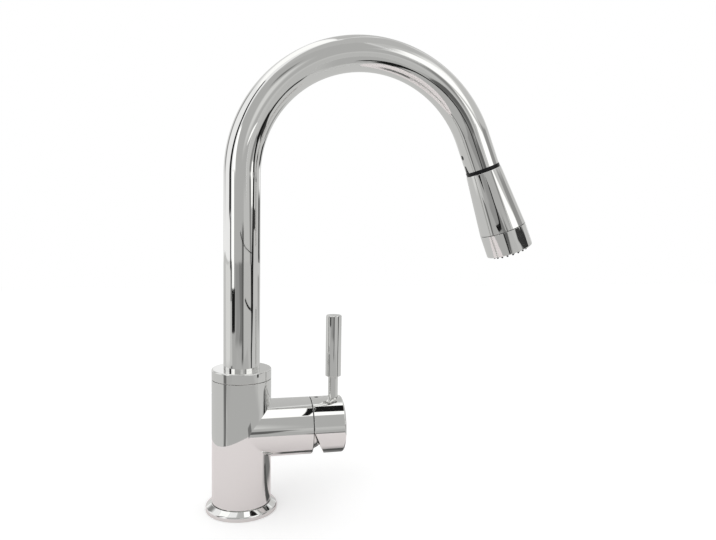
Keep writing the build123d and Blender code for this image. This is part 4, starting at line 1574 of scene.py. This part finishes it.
@dataclass
class Lever:
    """Round cap on the housing's end with the pin lever on top."""

    shop: Workshop
    radius: float = 0.0225
    start: float = 0.0547
    end: float = 0.080
    crown: float = 0.001
    wall: float = 0.0022
    edge_round: float = 0.0015
    rim_round: float = 0.00025
    cut_angle: float = 23.8
    cut_rise: float = 0.0007
    crown_steps: int = 10
    rod_reach: float = 0.073
    neck_radius: float = 0.00395
    neck_seat: float = 0.0005
    thread_radius: float = 0.00295
    boss_radius: float = 0.0075
    boss_start: float = 0.0702
    grip_round: float = 0.0008
    grip_recess: float = 0.0006
    grip_socket: float = 0.018
    index_reach: float = 0.0594
    index_radius: float = 0.0015
    index_recess: float = 0.00025

    def build(self) -> None:
        """Model and dress the lever's pieces."""
        self.cap()
        self.neck()
        self.grip()
        self.index()

    def upright(self, reach: float) -> Matrix:
        """Give the frame of an upright piece on the housing's axis.

        Args:
            reach: Its distance from the body's axis.

        Returns:
            The frame, its Z axis upwards.
        """
        return Matrix.Translation((reach, 0, self.shop.housing_height))

    def cap(self) -> None:
        """Cap with a crowned end, a slanted back edge below, and the seat for the rod."""
        shop = self.shop
        sphere = (self.radius ** 2 + self.crown ** 2) / (2 * self.crown)
        crown = [self.radius * (1 - step / self.crown_steps) for step in range(1, self.crown_steps)]
        outline = [Corner(self.radius, self.start), Corner(self.radius, self.end)]
        outline += [Corner(radius, self.end + self.crown - sphere + math.sqrt(sphere ** 2 - radius ** 2))
                    for radius in crown]
        outline += [Corner(0.0002, self.end + self.crown)]
        skin = lathe("lever_cap", outline, steps=ROUND_STEPS + 32, closed=False)
        round_rim(skin, self.radius, self.end, self.edge_round, 10)
        with editing(skin, "FACE"):
            pick_faces(skin, lambda middle, normal: normal.z < -0.5)
            bpy.ops.mesh.delete(type="ONLY_FACE")
        slant = math.radians(self.cut_angle)
        with editing(skin, "FACE"):
            bpy.ops.mesh.select_all(action="SELECT")
            bpy.ops.mesh.bisect(plane_co=(self.cut_rise, 0, self.start),
                                plane_no=(-math.sin(slant), 0, -math.cos(slant)), clear_outer=True)
        modify(skin, "SOLIDIFY", thickness=self.wall, offset=-1, use_even_offset=True, use_rim=True)
        with editing(skin):
            pick_edges(skin, self.on_back_rim)
            bpy.ops.mesh.bevel(offset=self.rim_round, segments=3, affect="EDGES")
        place(skin, shop.housing)
        boss = place(rod("boss", self.boss_radius, self.boss_start, self.end - self.wall / 2), shop.housing)
        combine(skin, boss, "UNION")
        seat = place(rod("seat", self.neck_radius + SLIP_GAP, self.radius - self.neck_seat,
                         self.radius + self.wall, FINE_STEPS), self.upright(self.rod_reach))
        hole = place(rod("hole", self.thread_radius + SLIP_GAP, 0, self.radius, FINE_STEPS),
                     self.upright(self.rod_reach))
        dot = place(rod("dot", self.index_radius + SLIP_GAP, self.radius - 2 * self.wall,
                        self.radius + self.wall, SMALL_STEPS), self.upright(self.index_reach))
        stem_half = 0.004
        stem = place(block("stem_room", (2 * stem_half, 2 * stem_half, 0.006),
                           (0, 0, self.boss_start + 0.0028)), shop.housing)
        cut(skin, seat, hole, dot, stem)
        keep_round(skin, [RoundForm(shop.housing.to_translation(), Vector((1, 0, 0)), self.radius)])
        shop.wardrobe.hand_over(skin, Slot.CHROME, Body.LEVER, "handle_cap")

    def on_back_rim(self, a: Vector, b: Vector) -> bool:
        """Tell whether an edge lies on the outer or inner line of the cap's back rim.

        Args:
            a: One end, in the housing's frame.
            b: The other end.

        Returns:
            Whether both ends lie there.
        """
        slant = math.tan(math.radians(self.cut_angle))

        def at_back(point: Vector) -> bool:
            slanted = self.start + max(0.0, self.cut_rise - point.x) * slant
            return abs(point.z - slanted) < 4 * SAME_PLACE

        def on_skin(point: Vector) -> bool:
            return abs(point.xy.length - self.radius) < 4 * SAME_PLACE

        return at_back(a) and at_back(b) and on_skin(a) and on_skin(b)

    def neck(self) -> None:
        """Thin rod between cap and grip, with its threaded ends."""
        grip_foot = foot_of("lever_grip") - self.shop.housing_height
        neck = lathe("lever_rod", [
            Corner(self.thread_radius, 0.004), Corner(self.thread_radius, self.radius - self.neck_seat),
            Corner(self.neck_radius, self.radius - self.neck_seat),
            Corner(self.neck_radius, grip_foot + self.grip_recess),
            Corner(self.thread_radius, grip_foot + self.grip_recess),
            Corner(self.thread_radius, grip_foot + self.grip_socket - 0.0003)],
            steps=FINE_STEPS, closed=False)
        smooth(place(neck, self.upright(self.rod_reach)))
        self.shop.wardrobe.hand_over(neck, Slot.CHROME, Body.LEVER, "lever_neck")

    def grip(self) -> None:
        """Thicker pin that the hand holds, with a shallow step round the rod."""
        low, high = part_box("lever_grip")
        radius = high.y
        foot, head = low.z - self.shop.housing_height, high.z - self.shop.housing_height
        socket = self.thread_radius + SLIP_GAP
        grip = lathe("lever_pin", [
            Corner(socket, foot + self.grip_socket), Corner(socket, foot + self.grip_recess),
            Corner(self.neck_radius + 0.0004, foot + self.grip_recess),
            Corner(self.neck_radius + 0.0004, foot, 0.0001), Corner(radius, foot, 0.0004),
            Corner(radius, head, self.grip_round)],
            steps=ROUND_STEPS, closed=False, segments=8)
        smooth(place(grip, self.upright(self.rod_reach)))
        self.shop.wardrobe.hand_over(grip, Slot.CHROME, Body.LEVER, "lever_grip")

    def index(self) -> None:
        """Small dark plug in the cap's top."""
        top = self.radius - self.index_recess
        plug = lathe("index_dot", [Corner(self.index_radius, self.radius - self.wall),
                                   Corner(self.index_radius, top, 0.0002)],
                     steps=SMALL_STEPS, closed=False, segments=3)
        smooth(place(plug, self.upright(self.index_reach)))
        self.shop.wardrobe.hand_over(plug, Slot.BLACK_PLASTIC, Body.LEVER, "index_plug")


# The studio

@dataclass(frozen=True)
class Light:
    """How bright a card is, and how softly its edges end."""

    strength: float
    side_fade: float = 0.0
    end_fade: float = 0.0
    tint: Colour = (1.0, 1.0, 0.985)
    one_sided: bool = False

    def material(self, name: str) -> bpy.types.Material:
        """Give the card's plain light, faded towards its edges.

        Args:
            name: The material's name.

        Returns:
            The material.
        """
        material = bpy.data.materials.new(name)
        material.use_nodes = True
        tree = material.node_tree
        tree.nodes.clear()
        out = tree.nodes.new("ShaderNodeOutputMaterial")
        glow = tree.nodes.new("ShaderNodeEmission")
        glow.inputs["Color"].default_value = (*self.tint, 1.0)
        glow.inputs["Strength"].default_value = self.strength
        where = tree.nodes.new("ShaderNodeTexCoord")
        split = tree.nodes.new("ShaderNodeSeparateXYZ")
        tree.links.new(where.outputs["UV"], split.inputs[0])
        edges = [self.edge(tree, split.outputs["X"], self.side_fade),
                 self.edge(tree, split.outputs["Y"], self.end_fade)]
        if self.one_sided:
            edges.append(tree.nodes.new("ShaderNodeNewGeometry").outputs["Backfacing"])
        shown = edges[0]
        for edge in edges[1:]:
            shown = new_math(tree, "MULTIPLY", shown, edge)
        clear = tree.nodes.new("ShaderNodeBsdfTransparent")
        mix = tree.nodes.new("ShaderNodeMixShader")
        tree.links.new(shown, mix.inputs["Fac"])
        tree.links.new(clear.outputs[0], mix.inputs[1])
        tree.links.new(glow.outputs[0], mix.inputs[2])
        tree.links.new(mix.outputs[0], out.inputs["Surface"])
        return material

    def edge(self, tree: bpy.types.NodeTree, across: bpy.types.NodeSocket, fade: float
             ) -> bpy.types.NodeSocket:
        """Fall from the card's middle to its edges.

        Args:
            tree: The material's nodes.
            across: Place across the card, from 0 to 1.
            fade: Share of the width that fades at each edge.

        Returns:
            1 inside, falling to 0 at the edges.
        """
        centred = tree.nodes.new("ShaderNodeMath")
        centred.operation = "SUBTRACT"
        centred.inputs[1].default_value = 0.5
        tree.links.new(across, centred.inputs[0])
        ramp = tree.nodes.new("ShaderNodeMapRange")
        ramp.interpolation_type = "SMOOTHSTEP"
        ramp.inputs["From Min"].default_value = 0.5001
        ramp.inputs["From Max"].default_value = 0.5 - fade
        tree.links.new(new_math(tree, "ABSOLUTE", centred.outputs[0]), ramp.inputs["Value"])
        return ramp.outputs["Result"]


def only_mirrored(card: Piece) -> None:
    """Let a card show in reflections alone.

    Args:
        card: The card, which isn't part of the faucet.
    """
    for ray in ("visible_camera", "visible_diffuse", "visible_shadow", "visible_transmission"):
        setattr(card, ray, False)


@dataclass(frozen=True)
class Panel:
    """Card on the studio's round wall, placed by the way that the faucet sees it, in degrees.

    Turn is measured from the front, to the right, and rise from the horizon. The leans turn the
    left and right edges on their way up.
    """

    name: str
    turn: tuple[float, float]
    rise: tuple[float, float]
    light: Light
    leans: tuple[float, float] = (0.0, 0.0)
    distance: float = 3.2
    eye: tuple[float, float, float] = (0.08, 0.0, 0.2)
    cells: int = 24

    def build(self) -> None:
        """Bend a grid onto the round wall."""
        clear_selection()
        bpy.ops.mesh.primitive_grid_add(x_subdivisions=self.cells, y_subdivisions=self.cells, size=1)
        card = name_piece(self.name)
        for vertex in card.data.vertices:
            across, up = vertex.co.x + 0.5, vertex.co.y + 0.5
            left = self.turn[0] + self.leans[0] * up
            right = self.turn[1] + self.leans[1] * up
            turn = math.radians(left + (right - left) * across)
            rise = math.radians(self.rise[0] + (self.rise[1] - self.rise[0]) * up)
            way = Vector((math.sin(turn) * math.cos(rise), -math.cos(turn) * math.cos(rise),
                          math.sin(rise)))
            vertex.co = Vector(self.eye) + way * self.distance
        card.data.materials.append(self.light.material(self.name))
        only_mirrored(card)


@dataclass(frozen=True)
class Sheet:
    """Flat card through four corners, in metres: foot left, foot right, top right, top left."""

    name: str
    corners: tuple[tuple[float, float, float], ...]
    light: Light

    def build(self) -> None:
        """Move a plane's corners to their places."""
        clear_selection()
        bpy.ops.mesh.primitive_plane_add(size=1)
        card = name_piece(self.name)
        for vertex, corner in zip(card.data.vertices, (0, 1, 3, 2)):
            vertex.co = self.corners[corner]
        card.data.materials.append(self.light.material(self.name))
        only_mirrored(card)


def level_sheet(name: str, corners: Sequence[tuple[float, float]], height: float, light: Light) -> Sheet:
    """Card that lies level.

    Args:
        name: The card's name.
        corners: Its corners, seen from above.
        height: Its height.
        light: How bright it is.

    Returns:
        The card.
    """
    return Sheet(name, tuple((x, y, height) for x, y in corners), light)


def strip(name: str, start: tuple[float, float], end: tuple[float, float], widths: tuple[float, float],
          height: float, light: Light) -> Sheet:
    """Level card between two points.

    Args:
        name: The card's name.
        start: Middle of its near end.
        end: Middle of its far end.
        widths: Its width at each end.
        height: Its height.
        light: How bright it is.

    Returns:
        The card.
    """
    near, far = Vector(start), Vector(end)
    along = (far - near).normalized()
    side = Vector((-along.y, along.x)) / 2
    points = (near - side * widths[0], near + side * widths[0], far + side * widths[1],
              far - side * widths[1])
    return level_sheet(name, [tuple(point) for point in points], height, light)


def wedge(name: str, turn: tuple[float, float], reach: tuple[float, float], layer: int, light: Light
          ) -> Sheet:
    """Card on the counter between two ways out from the body.

    Args:
        name: The card's name.
        turn: The two ways, in degrees from the front.
        reach: Its near and far end, from the body.
        layer: Which layer of cards on the counter it lies in.
        light: How bright it is.

    Returns:
        The card.
    """
    left, right = (Vector((math.sin(math.radians(way)), -math.cos(math.radians(way)))) for way in turn)
    near, far = reach
    corners = [tuple(left * near), tuple(right * near), tuple(right * far), tuple(left * far)]
    return level_sheet(name, corners, counter(layer), light)


def counter(layer: int) -> float:
    """Give the height of a layer of cards on the counter."""
    return COUNTER + layer * LAYER


COUNTER = -0.0215
LAYER = 0.0002
BLACK = 0.011
WALL = 3.4
FAR = 3.4
MID_AIR = 0.195
LOW_AIR = 0.13
OVERHEAD = 0.30
FROM_ABOVE = Light(BLACK, 0.15, 0.0, one_sided=True)

WALL_CARDS = (
    Panel("ceiling_grey", (-66, 150), (54, 89), Light(0.55, 0.06, 0.08), distance=WALL),
    Panel("ceiling_back", (150, 180), (-12, 89), Light(0.58, 0.06, 0.1), distance=WALL),
    Panel("front_grey", (-64, 22), (-12, 60), Light(0.50, 0.05, 0.06), distance=WALL),
    Panel("front_right", (9, 48), (-12, 5), Light(0.61, 0.05, 0.2), (-6, 0), distance=3.3),
    Panel("front_dark", (-6, 8), (-12, 0.5), Light(0.15, 0.2, 0.12), distance=3.25),
    Panel("front_spot", (-15, 11), (6, 31), Light(0.78, 0.35, 0.3), (-3, -6), distance=3.3),
    Panel("front_smudge", (-24, -4), (30, 41), Light(0.22, 0.4, 0.4), distance=3.3),
    Panel("right_grey", (18, 130), (-12, 60), Light(0.62, 0.05, 0.06), distance=WALL),
    Panel("ceiling_left", (-180, -90), (46, 89), Light(1.22, 0.06, 0.12), distance=WALL),
    Panel("side_left", (-180, -150), (-12, 46), Light(0.74, 0.2, 0.1), distance=WALL),
    Panel("shade_left", (-146, -116), (-2, 46), Light(0.28, 0.4, 0.3), (-14, -12)),
    Panel("side_right", (128, 180), (6, 60), Light(0.66, 0.15, 0.1), distance=WALL),
    Panel("window_left", (-68, -44), (4, 28), Light(1.36, 0.12, 0.15), (2, -12)),
    Panel("window_left_foot", (-70, -53), (-12, 6), Light(1.3, 0.15, 0.02), distance=3.15),
    Panel("black_stand", (-92, -74), (0, 33), Light(BLACK, 0.12, 0.05), (12, 6), distance=2.8),
    Panel("black_stand_foot", (-83, -74), (-6, 1), Light(0.03, 0.2, 0.05), distance=2.85),
    Panel("black_stand_top", (-80, -67), (31, 54), Light(BLACK, 0.15, 0.06), (-10, -12), distance=2.75),
    Panel("window_corner", (49, 69), (1.5, 7), Light(1.3, 0.1, 0.1)),
    Panel("window_right_low", (25, 66), (5.5, 18), Light(1.3, 0.08, 0.12)),
    Panel("window_right", (12, 54), (19, 47), Light(1.28, 0.2, 0.2), (14, 20)),
    Panel("window_right_high", (38, 78), (34, 56), Light(0.92, 0.3, 0.35), (6, 6)),
    Panel("smudge_right", (13, 20), (6, 21), Light(0.28, 0.35, 0.25), (8, 11), distance=3.0),
    Panel("shelf_right", (56, 96), (12, 24), Light(0.33, 0.15, 0.2), distance=3.0),
    Panel("black_line_right", (62, 84), (4, 12), Light(BLACK, 0.12, 0.25), (0, 2), distance=2.9),
    Panel("dark_line_right", (42, 62), (6, 10), Light(0.10, 0.1, 0.25), distance=2.95),
    Panel("frame_right", (50, 69), (-12, 5), Light(0.015, 0.12, 0.02), (16, 10), distance=3.0),
    Panel("frame_right_side", (46, 60), (-5, 5.5), Light(0.28, 0.2, 0.1), (-8, -6), distance=3.05),
    Panel("dark_back_right", (116, 147), (-5, 4), Light(0.05, 0.2, 0.2)),
)

COUNTER_CARDS = (
    level_sheet("counter", ((-FAR, -FAR), (FAR, -FAR), (FAR, FAR), (-FAR, FAR)), counter(0), Light(0.63)),
    level_sheet("counter_front_left", ((-FAR, -FAR), (0.3, -FAR), (0.1, -0.05), (-FAR, -1.25)), counter(1),
                Light(0.47)),
    level_sheet("counter_front_right", ((0.3, -FAR), (FAR, -FAR), (FAR, -1.9), (0.1, -0.05)), counter(1),
                Light(0.57)),
    level_sheet("counter_near", ((-0.5, -0.68), (0.5, -0.68), (0.4, -0.10), (-0.3, -0.10)), counter(2),
                Light(0.49, 0.12, 0.1)),
    wedge("far_left", (-50, -16), (0.78, FAR), 3, Light(0.33, 0.2, 0.05)),
    wedge("far_front", (-24, 4), (0.78, FAR), 4, Light(0.22, 0.2, 0.04)),
    wedge("light_left", (-124, -80), (0.6, FAR), 3, Light(0.80, 0.05, 0.04)),
    wedge("black_left", (-70, -45), (0.95, 1.9), 4, Light(BLACK, 0.12, 0.02)),
    wedge("black_left_far", (-79, -69), (1.5, FAR), 4, Light(0.08, 0.3, 0.0)),
    wedge("white_left", (-67, -53), (1.85, FAR), 5, Light(1.3, 0.15, 0.02)),
    wedge("line_left", (-77, -61), (0.19, 0.62), 5, Light(0.17, 0.3, 0.0)),
    wedge("dark_right", (52, 73), (1.25, FAR), 3, Light(BLACK, 0.15, 0.02)),
    wedge("dark_back", (112, 132), (0.8, 2.6), 3, Light(0.3, 0.3, 0.2)),
    strip("line_right", (0.48, -0.275), (0.66, -0.39), (0.09, 0.15), counter(5), Light(0.03, 0.2, 0.02)),
    strip("line_right_far", (0.64, -0.38), (1.31, -0.63), (0.15, 0.44), counter(4), Light(BLACK, 0.2, 0.02)),
    wedge("far_dark", (-6, 8), (0.60, FAR), 6, Light(0.13, 0.2, 0.03)),
    # Painted shade: a dark sheet on the deck's front edge, seen only in the chrome, that stands in for the
    # shadow along that edge.
    level_sheet("deck_edge_painted_shade", ((0.075, -0.228), (0.13, -0.228), (0.13, -0.182), (0.075, -0.182)), 0.0006,
                Light(0.2, 0.15, 0.2)),
    # Painted shadow: dark sheets on the deck under and beside the housing, seen only in the chrome, that
    # stand in for the housing's shadow.
    level_sheet("housing_painted_shadow", ((0.028, -0.009), (0.12, -0.009), (0.12, 0.013), (0.028, 0.013)), 0.0006,
                Light(0.09, 0.1, 0.2)),
    level_sheet("housing_shade", ((0.045, -0.03), (0.17, -0.03), (0.17, 0.09), (0.045, 0.09)), 0.0004,
                Light(0.2, 0.3, 0.3)),
)

AIR_CARDS = (
    strip("dark_run_near", (0.132, -0.085), (0.122, -0.185), (0.022, 0.022), MID_AIR, FROM_ABOVE),
    strip("dark_run", (0.1235, -0.17), (0.047, -0.39), (0.022, 0.036), MID_AIR, FROM_ABOVE),
    strip("dark_run_far", (0.050, -0.38), (-0.02, -0.55), (0.036, 0.06), MID_AIR, FROM_ABOVE),
    strip("dark_run_end", (-0.018, -0.545), (-0.27, -1.15), (0.06, 0.13), MID_AIR, FROM_ABOVE),
    strip("dark_run_low", (0.178, -0.14), (0.09, -0.31), (0.026, 0.036), LOW_AIR, FROM_ABOVE),
    Sheet("nozzle_dark", ((0.285, -0.125, 0.213), (0.345, -0.03, 0.213), (0.345, -0.03, 0.243),
                          (0.285, -0.125, 0.243)), Light(0.04, 0.1, 0.15, one_sided=True)),
    level_sheet("white_overhead", ((0.02, -0.195), (0.15, -0.195), (0.15, -0.012), (0.02, -0.012)), OVERHEAD,
                Light(1.3, 0.05, 0.05, one_sided=True)),
    level_sheet("white_overhead_back", ((0.091, -0.02), (0.16, -0.02), (0.16, 0.05), (0.091, 0.05)),
                OVERHEAD + LAYER, Light(1.3, 0.05, 0.03, one_sided=True)),
    level_sheet("black_overhead", ((0.091, -0.108), (0.16, -0.122), (0.16, 0.004), (0.091, 0.004)),
                OVERHEAD - LAYER, Light(BLACK, 0.03, 0.04, one_sided=True)),
    level_sheet("black_overhead_end", ((0.084, -0.178), (0.0935, -0.178), (0.0935, -0.02), (0.083, -0.02)),
                OVERHEAD - LAYER, Light(BLACK, 0.1, 0.05, one_sided=True)),
)


@dataclass
class Studio:
    """Pale deck and floor, plain soft light, the cards that the chrome mirrors, and the camera."""

    deck_centre: tuple[float, float] = (0.02, -0.01)
    deck_radius: float = 0.195
    deck_thickness: float = 0.020
    deck_hole: float = 0.0175
    floor_height: float = -0.25
    floor_size: float = 8.0
    deck_colour: Colour = (0.90, 0.845, 0.845)
    floor_colour: Colour = (0.9, 0.9, 0.9)
    world_light: float = 0.9
    camera_place: tuple[float, float, float] = (-0.0293, -0.5028, 0.2278)
    camera_heading: float = 13.6
    camera_pitch: float = 4.34
    camera_roll: float = -0.92
    focal_pixels: float = 643.0
    image_width: float = 716.0
    sensor: float = 36.0

    def build(self, aim: Vector) -> None:
        """Set up the studio.

        Args:
            aim: Middle of the round wall.
        """
        self.world()
        self.deck()
        self.floor()
        self.lamp(aim)
        for card in (*WALL_CARDS, *COUNTER_CARDS, *AIR_CARDS):
            card.build()
        self.camera()
        bpy.context.scene.view_settings.view_transform = "Standard"

    def pale(self, name: str, colour: Colour) -> bpy.types.Material:
        """Pale surface that is white to the camera, with the object's shadow on it.

        Args:
            name: The material's name.
            colour: What the chrome and the light see.

        Returns:
            The material.
        """
        material = bpy.data.materials.new(name)
        material.use_nodes = True
        tree = material.node_tree
        tree.nodes.clear()
        out = tree.nodes.new("ShaderNodeOutputMaterial")
        path = tree.nodes.new("ShaderNodeLightPath")
        real = tree.nodes.new("ShaderNodeBsdfDiffuse")
        real.inputs["Color"].default_value = (*colour, 1.0)
        white = tree.nodes.new("ShaderNodeBsdfDiffuse")
        white.inputs["Color"].default_value = (1.0, 1.0, 1.0, 1.0)
        lift = tree.nodes.new("ShaderNodeEmission")
        lift.inputs["Strength"].default_value = 0.12
        shown = tree.nodes.new("ShaderNodeAddShader")
        tree.links.new(white.outputs[0], shown.inputs[0])
        tree.links.new(lift.outputs[0], shown.inputs[1])
        mix = tree.nodes.new("ShaderNodeMixShader")
        tree.links.new(path.outputs["Is Camera Ray"], mix.inputs["Fac"])
        tree.links.new(real.outputs[0], mix.inputs[1])
        tree.links.new(shown.outputs[0], mix.inputs[2])
        tree.links.new(mix.outputs[0], out.inputs["Surface"])
        return material

    def deck(self) -> None:
        """Round of worktop between the base ring and the clamp."""
        thickness = self.deck_thickness
        slab = place(rod("deck", self.deck_radius, -thickness, 0, ROUND_STEPS),
                     Matrix.Translation((*self.deck_centre, 0)))
        cut(slab, rod("deck_hole", self.deck_hole, -2 * thickness, thickness))
        round_angles(slab, 0.0015)
        smooth(slab)
        slab.data.materials.append(self.pale("pale_deck", self.deck_colour))

    def floor(self) -> None:
        """Pale floor well below the deck, so that the pulled head hangs above it."""
        clear_selection()
        bpy.ops.mesh.primitive_plane_add(size=self.floor_size, location=(0, 0, self.floor_height))
        floor = name_piece("floor")
        floor.data.materials.append(self.pale("pale_floor", self.floor_colour))

    def world(self) -> None:
        """White surroundings: for the camera and the chrome, and as plain soft light."""
        world = bpy.data.worlds.new("studio")
        bpy.context.scene.world = world
        world.use_nodes = True
        tree = world.node_tree
        shine = tree.nodes["Background"]
        shine.inputs["Color"].default_value = (1.0, 1.0, 1.0, 1.0)
        path = tree.nodes.new("ShaderNodeLightPath")
        seen = new_math(tree, "MAXIMUM", path.outputs["Is Camera Ray"], path.outputs["Is Glossy Ray"])
        seen = new_math(tree, "MAXIMUM", seen, path.outputs["Is Transmission Ray"])
        level = tree.nodes.new("ShaderNodeMapRange")
        level.inputs["To Min"].default_value = self.world_light
        level.inputs["To Max"].default_value = 1.0
        tree.links.new(seen, level.inputs["Value"])
        tree.links.new(level.outputs["Result"], shine.inputs["Strength"])

    def lamp(self, aim: Vector) -> None:
        """One large soft lamp above and in front, which the chrome doesn't mirror.

        Args:
            aim: The point that the lamp faces.
        """
        data = bpy.data.lights.new("soft_lamp", "AREA")
        data.shape = "RECTANGLE"
        data.size = 1.6
        data.size_y = 1.2
        data.energy = 6.0
        lamp = bpy.data.objects.new("soft_lamp", data)
        bpy.context.scene.collection.objects.link(lamp)
        lamp.location = (-0.9, -1.3, 1.8)
        lamp.rotation_euler = (aim - lamp.location).to_track_quat("-Z", "Y").to_euler()
        lamp.visible_glossy = False

    def camera(self) -> None:
        """Camera at the reference view."""
        heading, pitch = math.radians(self.camera_heading), math.radians(self.camera_pitch)
        roll = math.radians(self.camera_roll)
        forward = Vector((math.sin(heading) * math.cos(pitch), math.cos(heading) * math.cos(pitch),
                          -math.sin(pitch)))
        across = Vector((math.cos(heading), -math.sin(heading), 0))
        down = forward.cross(across)
        right = across * math.cos(roll) + down * math.sin(roll)
        data = bpy.data.cameras.new("reference_view")
        data.sensor_width = self.sensor
        data.lens = self.focal_pixels * self.sensor / self.image_width
        data.clip_start = 0.01
        camera = bpy.data.objects.new("reference_view", data)
        bpy.context.scene.collection.objects.link(camera)
        camera.matrix_world = axes(Vector(self.camera_place), right, -forward)
        bpy.context.scene.camera = camera


def dress_hidden_nodes(shop: Workshop) -> None:
    """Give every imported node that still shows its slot's finish.

    Args:
        shop: The frames and the wardrobe.
    """
    slots = {part["node"]: Slot(part["material_slot"]) for part in shop.record["subparts"]}
    for node, piece in shop.nodes.items():
        if not piece.hide_render:
            material = shop.wardrobe.stem_brass if node == "valve_stem" else None
            shop.wardrobe.dress(piece, slots[node], material)
            log.info("%s keeps its own solid, in %s", node, slots[node].value)


def main() -> None:
    """Load the frame, build each sub-assembly around it and set up the studio."""
    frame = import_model()
    shop = Workshop(frame)
    for assembly in (DeckFixing(shop), BodyCasting(shop), ValveNut(shop), Swivel(shop), Spout(shop),
                     SprayHead(shop), Lever(shop)):
        assembly.build()
    dress_hidden_nodes(shop)
    Studio().build(Vector((0.08, 0, 0.2)))


if __name__ == "__main__":
    main()
